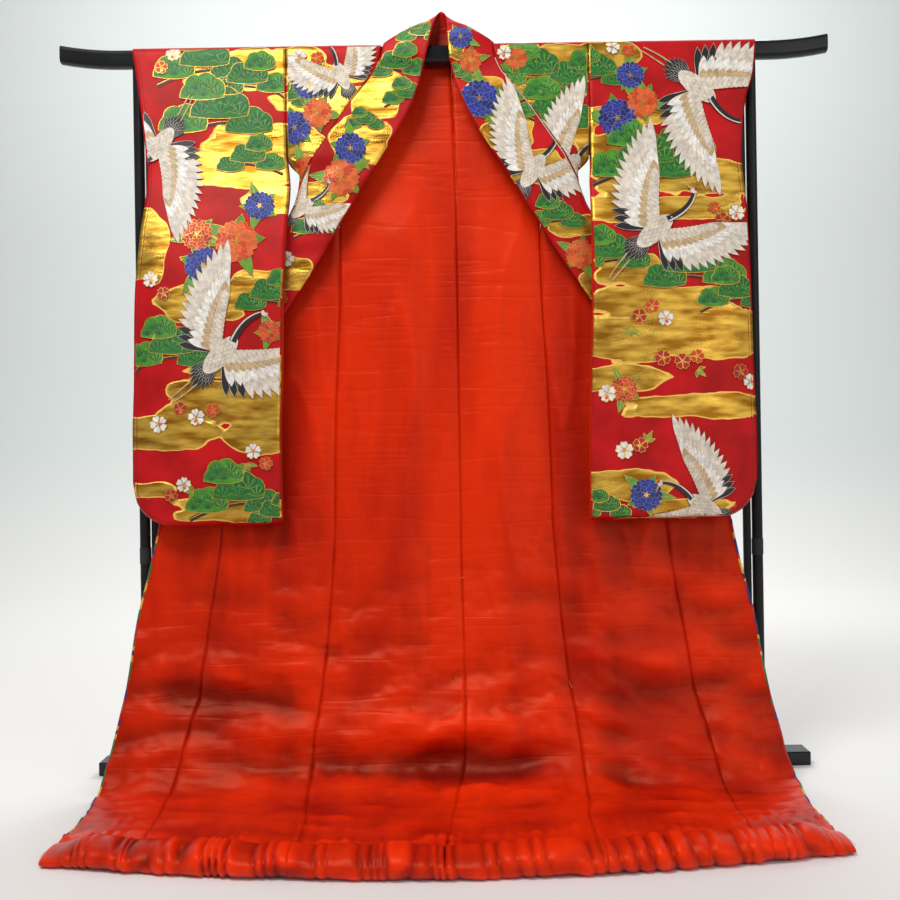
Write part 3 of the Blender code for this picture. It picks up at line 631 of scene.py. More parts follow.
def stitched(name, metallic, roughness):
    """Embroidery thread in the shape's own colour, laid in fine parallel rows."""
    g = Graph(name)
    at = g.place()
    tint = g.node("ShaderNodeAttribute", attribute_name="tint").outputs["Color"]
    rows = g.threads(at, 190.0, "DIAGONAL", 1.5)
    uneven_dye_and_shade = g.cloud(at, 90.0, 2.0)
    shade = g.node("ShaderNodeHueSaturation")
    g.put(tint, shade.inputs["Color"])
    g.put(g.spread(uneven_dye_and_shade, 0.3, 0.7, 0.72, 1.12), shade.inputs["Value"])
    g.set(Base_Color=shade.outputs["Color"], Metallic=metallic, Roughness=roughness)
    g.set(Specular_IOR_Level=0.5)
    g.bump(rows, 0.5, 0.0006)
    return g.material


def lacquer(name, colour, roughness, coat=0.0, edge=0.0):
    """Black paint with a trace of unevenness."""
    g = Graph(name)
    at = g.place()
    wear = g.cloud(at, 9.0, 4.0)
    g.set(Base_Color=g.mix(g.spread(wear, 0.35, 0.7), colour, tuple(c * 1.5 + 0.002 for c in colour)))
    g.set(Roughness=g.spread(wear, 0.3, 0.7, roughness * 0.85, roughness * 1.2), Specular_IOR_Level=0.28,
          Coat_Weight=coat, Coat_Roughness=0.08)
    g.bump(g.cloud(at, 300.0, 2.0), 0.05 + edge, 0.0003)
    return g.material


silk_look = silk("Silk lining", (0.74, 0.024, 0.001), (0.44, 0.007, 0.001))
collar_silk_look = silk("Collar lining", (0.50, 0.010, 0.004), (0.36, 0.005, 0.003))
brocade_look = brocade()
thread_look = stitched("Silk thread", 0.0, 0.42)
gold_look = stitched("Gold thread", 0.85, 0.30)
lacquer_look = lacquer("Black lacquer", (0.004, 0.004, 0.005), 0.20, 0.15)
satin_look = lacquer("Satin black", (0.005, 0.005, 0.006), 0.40)
joint_look = lacquer("Joint collar", (0.020, 0.020, 0.022), 0.5)


def plain_thread(name, colour, roughness=0.5):
    g = Graph(name)
    at = g.place()
    g.set(Base_Color=g.mix(g.spread(g.cloud(at, 60.0), 0.35, 0.65), colour, tuple(c * 0.75 for c in colour)),
          Roughness=roughness)
    g.bump(g.threads(at, 300.0, "DIAGONAL"), 0.4, 0.0004)
    return g.material


def piping():
    """The brocade's turned edge: short runs of crimson, gold, green and dark blue."""
    g = Graph("Turned brocade edge")
    at = g.scaled(g.place(), (0.4, 0.4, 1.0))
    first = g.cloud(at, 22.0, 1.0)
    second = g.cloud(at, 31.0, 1.0)
    colour = g.mix(g.spread(first, 0.50, 0.505), (0.42, 0.004, 0.008), (0.72, 0.40, 0.05))
    colour = g.mix(g.spread(second, 0.57, 0.575), colour, (0.020, 0.15, 0.020))
    colour = g.mix(g.spread(second, 0.44, 0.435), colour, (0.012, 0.018, 0.16))
    g.set(Base_Color=colour, Roughness=0.42)
    g.bump(g.threads(at, 330.0, "Z"), 0.4, 0.0004)
    return g.material


piping_look = piping()
stitch_look = plain_thread("Edge stitching", (0.30, 0.010, 0.008))
white_thread_look = plain_thread("White thread", (0.72, 0.68, 0.60))


def gold_ground(x, z, table):
    """Distance inside the gold cloud bands, in metres: above 0 is gold."""
    best = -1.0
    for middle_x, middle_z, half_x, half_z in table:
        dx, dz = (x - middle_x) / half_x, (z - middle_z) / half_z
        lobes = 1 + 0.10 * math.sin(5 * math.atan2(dz, dx) + 40 * middle_x)
        best = max(best, (lobes - math.sqrt(abs(dx) ** 3 + abs(dz) ** 3) ** (2 / 3)) * half_z)
    return best


def back_grid(sign, cells, downs):
    """The back panel from the centre seam to the side seam; its top follows the collar round the neck."""
    rows = []
    for down in downs:
        centre = smooth(BODY, 1, down) * sign
        side = smooth(BODY, 2, down)
        inner = centre + SEAM
        row = []
        for k in range(cells + 1):
            x = inner + (side - inner) * k / cells
            reach = (x - inner) / (NECK_HALF - inner)
            lowered = down
            if reach < 1:
                drop = NECK[-1][8] - 0.0022 + (NECK[2][8] - NECK[-1][8]) * reach ** 2
                lowered = max(down, float(np.interp(-drop, -TRACK[:, 1], TRACK_LENGTH)))
            y, z = back_yz(lowered)
            pull = side_pull(down) * bell(x, side, 0.04)
            lift = fold_height(x * sign, down)
            row.append((x, y - pull + hem_shift(x, down) - lift, z))
        rows.append(place(row, sign))
    return as_array(rows)


def heights(points, downs, work, seed):
    return np.array([[work(points[r, c, 0], down, seed) for c in range(points.shape[1])]
                     for r, down in enumerate(downs)])


def creased(points, downs, sign, lift=0.0):
    """The sheet with its creases, and moved towards the wearer's side by lift."""
    return raised(points, heights(points, downs, crease, 1.0) + lift, -sign, 0.0012 + lift)


def fold_and_shade_values(points, downs):
    """How deep or high the lining lies, lowered further for painted shade on the wings that turn from the
    light, near the shoulders and in a band lower down.
    """
    values = heights(points, downs, crease, 1.0)
    for r, down in enumerate(downs):
        seam = smooth(BODY, 2, down)
        span = rise(0.85, 1.05, down) * (1 - rise(1.46, 1.62, down))
        # Painted shade near the shoulders and in a band further down the lining
        under = (1 - rise(0.05, 0.30, down)) + 0.5 * rise(0.75, 1.0, down) * (1 - rise(1.08, 1.2, down))
        for c in range(values.shape[1]):
            past = abs(points[r, c, 0] - CENTRE_X) - seam
            wing = rise(-0.01, 0.05, past)
            # The wings' painted shade is patchy across the cloth
            uneven_dye_and_shade = 0.5 + 0.9 * uneven(points[r, c, 0] * 0.5, down, 31.0, 0.07)
            # Lower the value: painted shade on the wings past the side seams and near the shoulders
            values[r, c] -= 0.0052 * wing * span * uneven_dye_and_shade + 0.0042 * under * (0.3 + 0.7 * wing)
    return values


def gold_values(points, table):
    return np.array([[gold_ground(p[0], p[2], table) for p in row] for row in points])


def body_length(name, sign):
    downs = downs_between(0.0, HEM_DOWN)
    back = back_grid(sign, 38, downs)
    front, _ = front_rows("body", 32, 0.0, HEM_DOWN, sign)
    grids = [creased(back, downs, sign), creased(front, downs, sign)]
    values = [{"gold": gold_values(back, BACK_GOLD)}, {"gold": gold_values(front, FRONT_GOLD + BACK_GOLD)}]
    made = add_sheet("body_" + name, grids, [brocade_look, silk_look], values=values, flip=sign < 0,
                     skip=lambda g, r, c: g == 0 and flat_cell(grids[0], r, c))
    keep = [d for d in downs if d > 0.05]
    first = len(downs) - len(keep)
    inside = creased(back[first:], keep, sign, LINING_GAP)
    back_lining = add_sheet("lining_back_" + name, [inside], [silk_look], flip=sign < 0,
                            values=[{"fold": fold_and_shade_values(back[first:], keep)}])
    shown = [d for d in downs if d > LINING_FRONT_TOP - 0.01]
    first = len(downs) - len(shown)
    front_lining = add_sheet("lining_front_" + name, [creased(front[first:], shown, sign, LINING_GAP)],
                             [silk_look], flip=sign < 0, values=[{"fold": fold_and_shade_values(front[first:], shown)}])
    return made, back_lining, front_lining


def flat_cell(points, r, c):
    corners = points[r:r + 2, c:c + 2].reshape(4, 3)
    return float(np.linalg.norm(corners[0] - corners[2])) < 0.002 or float(
        np.linalg.norm(corners[1] - corners[3])) < 0.002


def overlap_panel(name, sign):
    points, downs = front_rows("okumi", 34, OKUMI_TOP + 0.012, HEM_DOWN, sign)
    made = add_sheet("okumi_" + name, [creased(points, downs, sign)], [brocade_look, silk_look],
                     values=[{"gold": gold_values(points, FRONT_GOLD + BACK_GOLD)}], flip=sign < 0)
    shown = [d for d in downs if d > LINING_OKUMI_TOP]
    first = len(downs) - len(shown)
    lining = add_sheet("lining_okumi_" + name, [creased(points[first:], shown, sign, LINING_GAP)],
                       [silk_look], flip=sign < 0, values=[{"fold": fold_and_shade_values(points[first:], shown)}])
    return made, lining


def neck_row(values, cells):
    edge, lift, seam = Vector(values[0:3]), Vector(values[3:6]), Vector(values[6:9])
    row = []
    for k in range(cells + 1):
        t = k / cells
        row.append(tuple(edge * (1 - t) ** 2 + lift * 2 * t * (1 - t) + seam * t * t))
    return row[::-1]


NECK_LEAN = 0.010


def collar_band():
    """The padded collar: up one front, round the neck and down the other front."""
    cells = 18
    table = [(k, *values) for k, values in enumerate(NECK)]
    steps = [k / 6 for k in range((len(NECK) - 1) * 6 + 1)]
    neck = [neck_row([smooth(table, c, k) for c in range(1, 10)], cells) for k in steps]
    left = list(front_rows("collar", cells, 0.06, COLLAR_END - 0.03, -1)[0])[::-1]
    right = list(front_rows("collar", cells, 0.06, COLLAR_END - 0.03, 1)[0])
    rows = as_array(left + [place(r, -1) for r in neck] + [place(r, 1) for r in neck[-2::-1]] + right)
    rows[:, :, 0] += NECK_LEAN * np.clip((rows[:, :, 2] - 1.47) / 0.11, 0, 1)
    bent = np.array([[sheet_crease(p[0], p[2], 4) for p in row] for row in rows])
    rows = rows + normals_of(rows) * bent[:, :, None]
    return add_sheet("collar", [rows], [brocade_look, collar_silk_look], solid=COLLAR_CLOTH,
                     values=[{"gold": gold_values(rows, COLLAR_GOLD)}])


def sleeve_bottom(from_outer):
    """The bag's lowest height, with its rounded outer corner."""
    if from_outer >= SLEEVE_CORNER:
        return SLEEVE_BOTTOM
    inside = SLEEVE_CORNER - from_outer
    return SLEEVE_BOTTOM + SLEEVE_CORNER - math.sqrt(max(SLEEVE_CORNER ** 2 - inside ** 2, 0.0))


def sleeve_x(z, across, side_column, drawn=0.0):
    inner = smooth(SLEEVE, side_column, z)
    outer = smooth(SLEEVE, side_column + 1, z) - drawn
    return inner + (outer - inner) * across


def sleeve_loop(across, side_column, rows=104, bend=8):
    """One closed loop of the bag: over the bar, down the front, under, and up the back."""
    wide = smooth(SLEEVE, side_column + 1, 0.6) - smooth(SLEEVE, side_column, 0.6)
    low = sleeve_bottom((1 - across) * wide)
    loop = []
    top = CREST_Z - CREST_RADIUS_Z
    rim = bell(across, 1.0, 0.10)
    for k in range(bend):
        angle = math.pi / 2 * k / bend
        z = top + CREST_RADIUS_Z * math.cos(angle)
        loop.append((sleeve_x(z, across, side_column), -CREST_RADIUS_Y * math.sin(angle), z))
    front, back = [], []
    for k in range(rows + 1):
        z = top + (low + 0.006 - top) * (k / rows)
        y_front, y_back, drawn = [smooth(SLEEVE_DEPTH, c, z) for c in (1, 2, 3)]
        shut = rim * (1 - rise(1.20, 1.28, z))
        middle = (y_front + y_back) / 2
        slack = 0.006 * math.sin(across * math.pi) * (1 - rise(1.1, 1.4, z))
        half = (y_back - y_front) / 2 * (1 - shut) + 0.0045 * shut
        front.append((sleeve_x(z, across, side_column), middle - half - slack, z))
        back.append((sleeve_x(z, across, side_column, drawn * rise(0.3, 1.0, across)), middle + half, z))
    lowest = (front[-1][0], (front[-1][1] + back[-1][1]) / 2, low)
    loop += front + [lowest] + back[::-1]
    for k in range(bend - 1, -1, -1):
        angle = math.pi / 2 * k / bend
        z = top + CREST_RADIUS_Z * math.cos(angle)
        loop.append((sleeve_x(z, across, side_column), CREST_RADIUS_Y * math.sin(angle), z))
    return loop


def sleeve(name, sign):
    side_column = 1 if sign < 0 else 3
    loops = [sleeve_loop(k / 46, side_column) for k in range(47)]
    points = np.array([[(sign * x, y + SHIFT_Y, z) for x, y, z in (loop[r] for loop in loops)]
                       for r in range(len(loops[0]))])
    half = len(points) // 2
    bent = np.array([[sheet_crease(p[0], p[2], 6 if r < half else 9) * (1 - rise(1.40, 1.47, p[2]))
                      for p in row] for r, row in enumerate(points)])
    points = points + normals_of(points) * bent[:, :, None] * 0.9
    gold = np.array([[gold_ground(p[0], p[2], FRONT_GOLD if r < half else BACK_GOLD) for p in row]
                     for r, row in enumerate(points)])
    return add_sheet("sleeve_" + name, [points], [brocade_look, silk_look], values=[{"gold": gold}],
                     weld=True, flip=sign > 0)


def roll_spans():
    """The hem roll's lengths between seams, signed from the garment's middle."""
    centre, side, front, edge = [smooth(BODY, c, HEM_DOWN) for c in (1, 2, 3, 5)]
    seam = side + front
    return [("okumi_left", -edge, -seam), ("front_left", -seam, -side), ("back_left", -side, centre),
            ("back_right", centre, side), ("front_right", side, seam), ("okumi_right", seam, edge)]


def roll_ring(across, swell, sides=40):
    """A flat-bottomed, puckered oval across the hem."""
    y_back = back_yz(HEM_DOWN)[0] + hem_shift(across, HEM_DOWN) - 2 * TOUCH + SHIFT_Y
    gather = 0.65 + 0.55 * max(bell(across, -0.36, 0.06), bell(across, 0.34, 0.05))
    ring = []
    for k in range(sides):
        angle = 2 * math.pi * k / sides
        up, back = math.sin(angle), math.cos(angle)
        ripple = 0.0085 * gather * (abs(math.sin(math.pi * (across / 0.030 + 0.25 * up
                                    + 2.2 * uneven(across, 0.0, 10.0, 0.06)))) ** 0.7 - 0.66)
        soft = 0.0062 * uneven(across, up * 0.03, 12.0, 0.035)
        puff = 1 + (ripple + soft) / (ROLL_TALL / 2) * (0.35 + 0.65 * max(up, 0.0))
        y = y_back - ROLL_DEEP / 2 + ROLL_DEEP / 2 * back * (puff if back < 0 else 1.0)
        if back > 0 and up < 0:
            y = y_back - 0.04 * ROLL_DEEP * up ** 2
        z = ROLL_TALL * swell * (0.42 + 0.58 * up * puff)
        # The fourth value is the pucker's depth, which the silk shader turns into painted shade and painted
        # highlight
        ring.append((CENTRE_X + across, y, min(max(z, 0.0), ROLL_TALL * 1.08), 2.2 * (ripple + soft)))
    return ring


def hem_rolls():
    for name, start, stop in roll_spans():
        count = max(int((stop - start) / 0.0035), 8)
        rings = []
        for k in range(count + 1):
            t = k / count
            across = start + SEAM + (stop - start - 2 * SEAM) * t
            swell = 0.90 + 0.12 * math.sin(math.pi * t) ** 0.6
            corner = 1 - rise(0.58, 0.66, abs(across)) * 0.60
            rings.append(roll_ring(across, swell * corner))
        work = bmesh.new()
        # The fold attribute carries the pucker depths for the silk shader's painted shade in hollows and
        # painted highlight on tops
        fold = work.verts.layers.float.new("fold")
        verts = [[work.verts.new(p[:3]) for p in ring] for ring in rings]
        for ring, points in zip(verts, rings):
            for vert, point in zip(ring, points):
                vert[fold] = point[3]
        for a, b in zip(verts, verts[1:]):
            for k in range(len(a)):
                follow = (k + 1) % len(a)
                work.faces.new((a[k], a[follow], b[follow], b[k])).smooth = True
        work.faces.new(verts[0])
        work.faces.new(verts[-1][::-1])
        bmesh.ops.recalc_face_normals(work, faces=work.faces)
        mesh = bpy.data.meshes.new("hem_" + name)
        work.to_mesh(mesh)
        work.free()
        mesh.materials.append(silk_look)
        roll = linked("hem_" + name, mesh)
        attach(roll, "root")
        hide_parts("hem_roll_" + name)

# Gold cloud bands: middle x, middle z, half width, half height
FRONT_GOLD = [
    (-0.43, 1.455, 0.105, 0.042), (-0.39, 1.305, 0.10, 0.034), (-0.42, 1.245, 0.13, 0.040),
    (-0.350, 1.175, 0.06, 0.030), (-0.615, 1.085, 0.050, 0.075), (-0.500, 0.965, 0.085, 0.036),
    (-0.390, 0.835, 0.12, 0.022), (-0.420, 0.765, 0.15, 0.045), (-0.590, 0.705, 0.13, 0.034),
    (-0.370, 0.700, 0.08, 0.040), (-0.440, 0.552, 0.11, 0.026), (-0.600, 0.590, 0.05, 0.014),
    (0.345, 1.470, 0.060, 0.036), (0.365, 1.345, 0.095, 0.020), (0.345, 1.275, 0.075, 0.034),
    (0.480, 1.215, 0.19, 0.036), (0.420, 1.145, 0.17, 0.026), (0.430, 0.955, 0.15, 0.030),
    (0.370, 0.880, 0.12, 0.044), (0.530, 0.885, 0.14, 0.046), (0.340, 0.800, 0.09, 0.026),
    (0.510, 0.742, 0.16, 0.024), (0.350, 0.585, 0.10, 0.030), (0.470, 0.540, 0.09, 0.016),
    (-0.300, 1.475, 0.050, 0.030), (-0.235, 1.440, 0.060, 0.022), (-0.310, 1.385, 0.045, 0.020),
    (-0.290, 1.300, 0.040, 0.028), (0.270, 1.470, 0.085, 0.028), (0.215, 1.395, 0.070, 0.030),
    (0.265, 1.330, 0.040, 0.030), (-0.370, 1.000, 0.070, 0.030), (0.370, 1.020, 0.070, 0.030),
]
COLLAR_GOLD = [
    (-0.045, 1.560, 0.018, 0.030), (-0.140, 1.405, 0.055, 0.055), (-0.175, 1.300, 0.060, 0.050),
    (-0.250, 1.190, 0.045, 0.030), (-0.330, 1.030, 0.050, 0.035), (0.020, 1.500, 0.025, 0.030),
    (0.085, 1.410, 0.040, 0.022), (0.130, 1.315, 0.050, 0.032), (0.190, 1.240, 0.055, 0.035),
    (0.260, 1.120, 0.045, 0.022), (0.320, 1.000, 0.045, 0.030),
]
BACK_GOLD = [
    (-0.10, 1.380, 0.16, 0.035), (0.12, 1.310, 0.14, 0.032), (0.24, 1.440, 0.12, 0.024),
    (-0.46, 1.420, 0.13, 0.030), (0.47, 1.350, 0.14, 0.036), (-0.45, 1.180, 0.13, 0.045),
    (0.50, 1.080, 0.12, 0.050), (-0.06, 1.140, 0.18, 0.040), (0.12, 1.060, 0.12, 0.026),
    (-0.24, 0.940, 0.14, 0.045), (0.28, 0.880, 0.16, 0.040), (-0.50, 0.860, 0.12, 0.035),
    (0.48, 0.760, 0.13, 0.040), (0.02, 0.740, 0.20, 0.045), (-0.38, 0.640, 0.20, 0.040),
    (0.36, 0.560, 0.22, 0.045), (-0.12, 0.500, 0.20, 0.038), (0.14, 0.380, 0.22, 0.040),
    (-0.36, 0.340, 0.20, 0.036), (0.42, 0.270, 0.16, 0.030), (-0.08, 0.210, 0.24, 0.034),
    (-0.48, 0.460, 0.12, 0.030), (0.52, 0.420, 0.10, 0.028), (-0.46, 0.200, 0.16, 0.030),
    (0.20, 0.150, 0.22, 0.030), (0.55, 0.120, 0.10, 0.024), (-0.30, 0.090, 0.24, 0.026),
]

BLUE = ("navy", "blue", "pale")
ORANGE = ("orange", "flame", "gold")
RED = ("red", "orange", "gold")

# Embroidery on each panel: motif, x, z, size, and what that motif needs
LEFT_SLEEVE = [
    ("pine", -0.500, 1.480, 0.17, 1), ("pine", -0.400, 1.440, 0.14, -1), ("pine", -0.470, 1.372, 0.20, 1),
    ("blossom", -0.560, 1.490, 0.017, "white"), ("blossom", -0.585, 1.462, 0.015, "orange"),
    ("pine", -0.400, 1.272, 0.12, -1),
    ("crane", -0.592, 1.290, 0.21, 2.5, 1), ("peony", -0.380, 1.165, 0.034, BLUE),
    ("peony", -0.425, 1.090, 0.048, ORANGE), ("peony", -0.505, 1.105, 0.036, RED),
    ("peony", -0.490, 1.040, 0.044, BLUE), ("blossom", -0.600, 1.015, 0.018, "white"),
    ("blossom", -0.572, 0.985, 0.015, "red"), ("pine", -0.352, 0.985, 0.13, -1),
    ("pine", -0.560, 0.880, 0.16, 1), ("crane", -0.450, 0.868, 0.24, 0.75, -1),
    ("peony", -0.360, 0.905, 0.026, RED),
    ("blossom", -0.508, 0.735, 0.019, "white"), ("blossom", -0.540, 0.752, 0.016, "red"),
    ("blossom", -0.475, 0.748, 0.016, "orange"), ("blossom", -0.585, 0.722, 0.020, "white"),
    ("blossom", -0.395, 0.665, 0.018, "white"), ("blossom", -0.370, 0.640, 0.015, "orange"),
    ("leaves", -0.410, 0.640, 0.022, 4, 2.0, 2.5), ("pine", -0.430, 0.585, 0.17, 1),
    ("blossom", -0.535, 0.600, 0.017, "white"), ("blossom", -0.560, 0.578, 0.015, "red"),
    ("leaves", -0.515, 0.585, 0.020, 3, 0.5, 2.0), ("pine", -0.350, 0.545, 0.10, -1),
]
RIGHT_SLEEVE = [
    ("pine", 0.312, 1.445, 0.13, 1), ("blossom", 0.350, 1.490, 0.017, "white"),
    ("blossom", 0.382, 1.482, 0.015, "orange"), ("peony", 0.385, 1.430, 0.032, BLUE),
    ("peony", 0.408, 1.372, 0.036, ORANGE), ("peony", 0.355, 1.340, 0.044, BLUE),
    ("crane", 0.530, 1.395, 0.24, -2.3, 1), ("pine", 0.405, 1.262, 0.19, 1),
    ("pine", 0.480, 1.290, 0.13, -1), ("crane", 0.430, 1.105, 0.235, -0.85, 1),
    ("blossom", 0.590, 1.135, 0.019, "white"), ("blossom", 0.560, 1.120, 0.017, "red"),
    ("blossom", 0.545, 1.145, 0.014, "orange"), ("pine", 0.330, 1.060, 0.14, 1),
    ("pine", 0.500, 1.030, 0.18, -1), ("pine", 0.580, 0.975, 0.13, 1),
    ("blossom", 0.385, 0.925, 0.017, "red"), ("blossom", 0.412, 0.945, 0.016, "orange"),
    ("blossom", 0.438, 0.920, 0.018, "white"), ("leaves", 0.370, 0.900, 0.020, 4, 1.5, 2.5),
    ("blossom", 0.430, 0.840, 0.018, "red"), ("blossom", 0.470, 0.832, 0.018, "red"),
    ("blossom", 0.500, 0.842, 0.016, "orange"), ("leaves", 0.500, 0.815, 0.020, 3, 3.0, 2.0),
    ("blossom", 0.318, 0.770, 0.020, "white"), ("peony", 0.352, 0.778, 0.030, RED),
    ("blossom", 0.588, 0.810, 0.018, "red"), ("blossom", 0.610, 0.790, 0.018, "white"),
    ("blossom", 0.350, 0.655, 0.020, "white"), ("blossom", 0.382, 0.665, 0.017, "red"),
    ("leaves", 0.395, 0.672, 0.022, 3, 5.0, 1.6), ("peony", 0.392, 0.565, 0.036, BLUE),
    ("crane", 0.500, 0.545, 0.20, 1.0, 1), ("pine", 0.310, 0.545, 0.09, 1),
]
LEFT_SHOULDER = [
    ("blossom", -0.300, 1.480, 0.018, "white"), ("blossom", -0.262, 1.476, 0.016, "orange"),
    ("peony", -0.280, 1.420, 0.034, BLUE), ("crane", -0.215, 1.445, 0.16, 0.4, 1),
    ("peony", -0.262, 1.360, 0.034, ORANGE), ("peony", -0.310, 1.330, 0.038, BLUE),
    ("pine", -0.325, 1.400, 0.09, 1), ("peony", -0.285, 1.235, 0.040, ORANGE),
    ("leaves", -0.250, 1.290, 0.024, 4, 2.0, 3.0), ("pine", -0.335, 1.150, 0.12, 1),
]
RIGHT_SHOULDER = [
    ("pine", 0.185, 1.452, 0.16, 1), ("pine", 0.270, 1.430, 0.15, -1), ("pine", 0.225, 1.365, 0.17, 1),
    ("blossom", 0.125, 1.482, 0.017, "white"), ("peony", 0.150, 1.470, 0.026, ORANGE),
    ("crane", 0.255, 1.245, 0.20, 0.9, -1), ("pine", 0.330, 1.130, 0.13, 1),
]
COLLAR_LEFT = [
    ("pine", -0.048, 1.530, 0.085, 1), ("pine", -0.095, 1.465, 0.11, -1), ("pine", -0.075, 1.400, 0.09, 1),
    ("peony", -0.195, 1.285, 0.036, BLUE), ("pine", -0.165, 1.345, 0.07, 1),
    ("peony", -0.215, 1.225, 0.042, ORANGE), ("pine", -0.255, 1.140, 0.11, 1),
    ("crane", -0.290, 1.170, 0.15, -0.9, 1), ("blossom", -0.330, 1.060, 0.018, "white"),
    ("blossom", -0.345, 0.980, 0.018, "orange"), ("peony", -0.380, 0.930, 0.035, RED),
]
COLLAR_RIGHT = [
    ("peony", 0.035, 1.515, 0.028, BLUE), ("peony", 0.055, 1.465, 0.026, ORANGE),
    ("pine", 0.030, 1.440, 0.06, 1), ("peony", 0.072, 1.385, 0.044, BLUE),
    ("pine", 0.130, 1.370, 0.10, -1), ("leaves", 0.100, 1.345, 0.024, 4, 2.0, 2.6),
    ("crane", 0.185, 1.240, 0.20, -0.6, 1), ("pine", 0.225, 1.145, 0.11, 1),
    ("peony", 0.275, 1.060, 0.034, ORANGE), ("blossom", 0.320, 0.990, 0.018, "white"),
]
BACK_PANEL = [
    ("crane", -0.130, 1.190, 0.30, 0.6, 1), ("crane", 0.160, 0.760, 0.34, -0.6, 1),
    ("pine", 0.150, 1.380, 0.24, 1), ("pine", -0.100, 1.420, 0.20, -1), ("pine", -0.160, 0.900, 0.24, 1),
    ("peony", 0.060, 1.150, 0.060, BLUE), ("peony", 0.130, 1.090, 0.055, ORANGE),
    ("peony", -0.030, 1.020, 0.050, RED), ("crane", -0.150, 0.560, 0.34, 0.9, -1),
    ("pine", 0.120, 0.520, 0.28, 1), ("peony", -0.020, 0.390, 0.065, BLUE),
    ("peony", 0.070, 0.330, 0.060, ORANGE), ("peony", -0.130, 0.310, 0.055, RED),
    ("blossom", 0.180, 1.010, 0.026, "white"), ("blossom", -0.180, 0.760, 0.026, "white"),
    ("blossom", 0.020, 0.640, 0.024, "orange"), ("blossom", -0.060, 0.690, 0.026, "white"),
    ("pine", -0.400, 0.480, 0.24, -1), ("pine", 0.430, 0.470, 0.24, 1), ("peony", 0.330, 0.360, 0.055, RED),
    ("crane", -0.400, 0.300, 0.26, -0.5, 1), ("crane", 0.440, 0.250, 0.26, 0.5, -1),
    ("pine", 0.080, 0.230, 0.26, -1), ("peony", -0.250, 0.190, 0.055, ORANGE),
    ("blossom", -0.310, 0.220, 0.026, "white"), ("peony", 0.250, 0.150, 0.050, BLUE),
    ("blossom", 0.190, 0.300, 0.026, "white"), ("blossom", -0.440, 0.620, 0.026, "white"),
    ("blossom", 0.420, 0.640, 0.026, "orange"), ("pine", -0.080, 0.130, 0.22, 1),
]

# Colours of cloth and thread, linear
THREAD = {
    "cream": (0.74, 0.66, 0.56), "white": (0.86, 0.82, 0.76), "beige": (0.56, 0.37, 0.17),
    "black": (0.010, 0.009, 0.010), "bark": (0.035, 0.014, 0.008), "green": (0.018, 0.17, 0.018),
    "moss": (0.065, 0.28, 0.014), "pine": (0.004, 0.070, 0.032), "leaf": (0.15, 0.35, 0.03),
    "blue": (0.015, 0.024, 0.26), "navy": (0.006, 0.009, 0.12), "pale": (0.16, 0.21, 0.52),
    "orange": (0.68, 0.040, 0.006), "flame": (0.80, 0.11, 0.02), "red": (0.46, 0.005, 0.006),
    "gold": (0.80, 0.44, 0.08),
}
LIFT = 0.0007
LEVEL = 0.00022


class Stitching:
    """Flat filled shapes gathered before they are laid on a piece of cloth."""

    def __init__(self):
        self.shapes = []

    def fill(self, outline, colour, level, rings=2):
        self.shapes.append(("fill", outline, colour, level, rings))

    def band(self, line, width, colour, level):
        self.shapes.append(("band", line, colour, level, width))


def turned(points, angle, x, z, flip=1):
    c, s = math.cos(angle), math.sin(angle)
    return [(x + flip * (px * c - pz * s), z + px * s + pz * c) for px, pz in points]


def blade(length, width, full=0.55, steps=8):
    """A pointed or rounded leaf shape that starts at 0, 0 and runs up Z."""
    side = []
    for k in range(steps + 1):
        t = k / steps
        half = width / 2 * math.sin(math.pi * t ** full) if t < 1 else 0.0
        side.append((half, length * t))
    return side + [(-x, z) for x, z in side[-2:0:-1]]


def feather(length, width, steps=9):
    """A long shape with even sides and a softly pointed end."""
    side = []
    for k in range(steps + 1):
        t = k / steps
        full = min((t / 0.2) ** 0.6, 1.0) if t < 0.62 else max(1 - ((t - 0.62) / 0.38) ** 2.2, 0.0)
        side.append((width / 2 * full, length * t))
    return side + [(-x, z) for x, z in side[-2:0:-1]]


def round_petal(length, width, notch=0.0):
    """A petal from 0, 0 with a full, slightly notched outer end."""
    points = []
    for k in range(15):
        a = -math.pi / 2 + 2 * math.pi * (k + 0.5) / 15
        reach = max(0.5 + 0.5 * math.sin(a), 0.0)
        dent = notch * bell(a, math.pi / 2, 0.35)
        points.append((width / 2 * math.cos(a) * (0.35 + 0.65 * reach ** 0.6), length * (reach - dent)))
    return points


def strip(line, widths):
    """A tapered ribbon along a line of points."""
    left, right = [], []
    for k, (x, z) in enumerate(line):
        ax, az = line[max(k - 1, 0)]
        bx, bz = line[min(k + 1, len(line) - 1)]
        size = math.hypot(bx - ax, bz - az) or 1.0
        nx, nz = -(bz - az) / size, (bx - ax) / size
        w = widths[0] + (widths[1] - widths[0]) * k / (len(line) - 1)
        left.append((x + nx * w / 2, z + nz * w / 2))
        right.append((x - nx * w / 2, z - nz * w / 2))
    return left, right


def curve_line(start, middle, end, steps=10):
    line = []
    for k in range(steps + 1):
        t = k / steps
        line.append(tuple(start[i] * (1 - t) ** 2 + 2 * middle[i] * t * (1 - t) + end[i] * t * t
                          for i in range(2)))
    return line


def ribbon(art, line, widths, colour, level):
    left, right = strip(line, widths)
    art.shapes.append(("ribbon", (left, right), colour, level, None))


def blossom(art, x, z, size, colour, level=5, spin=0.0):
    heart = "gold" if colour != "white" else "flame"
    for k in range(5):
        angle = spin + 2 * math.pi * k / 5
        petal = turned(round_petal(size, size * 0.98, 0.16), angle, x, z)
        art.fill(petal, colour, level + 0.3 * (k % 2))
        art.band(petal, 0.0011, "gold", level + 1)
    art.fill(turned(round_petal(size * 0.42, size * 0.42), spin, x, z - size * 0.2), heart, level + 1.5)
    for k in range(5):
        angle = spin + 2 * math.pi * (k + 0.5) / 5
        tip = (x - math.sin(angle) * size * 0.5, z + math.cos(angle) * size * 0.5)
        ribbon(art, [(x, z), tip], (0.0012, 0.0008), "gold", level + 2)


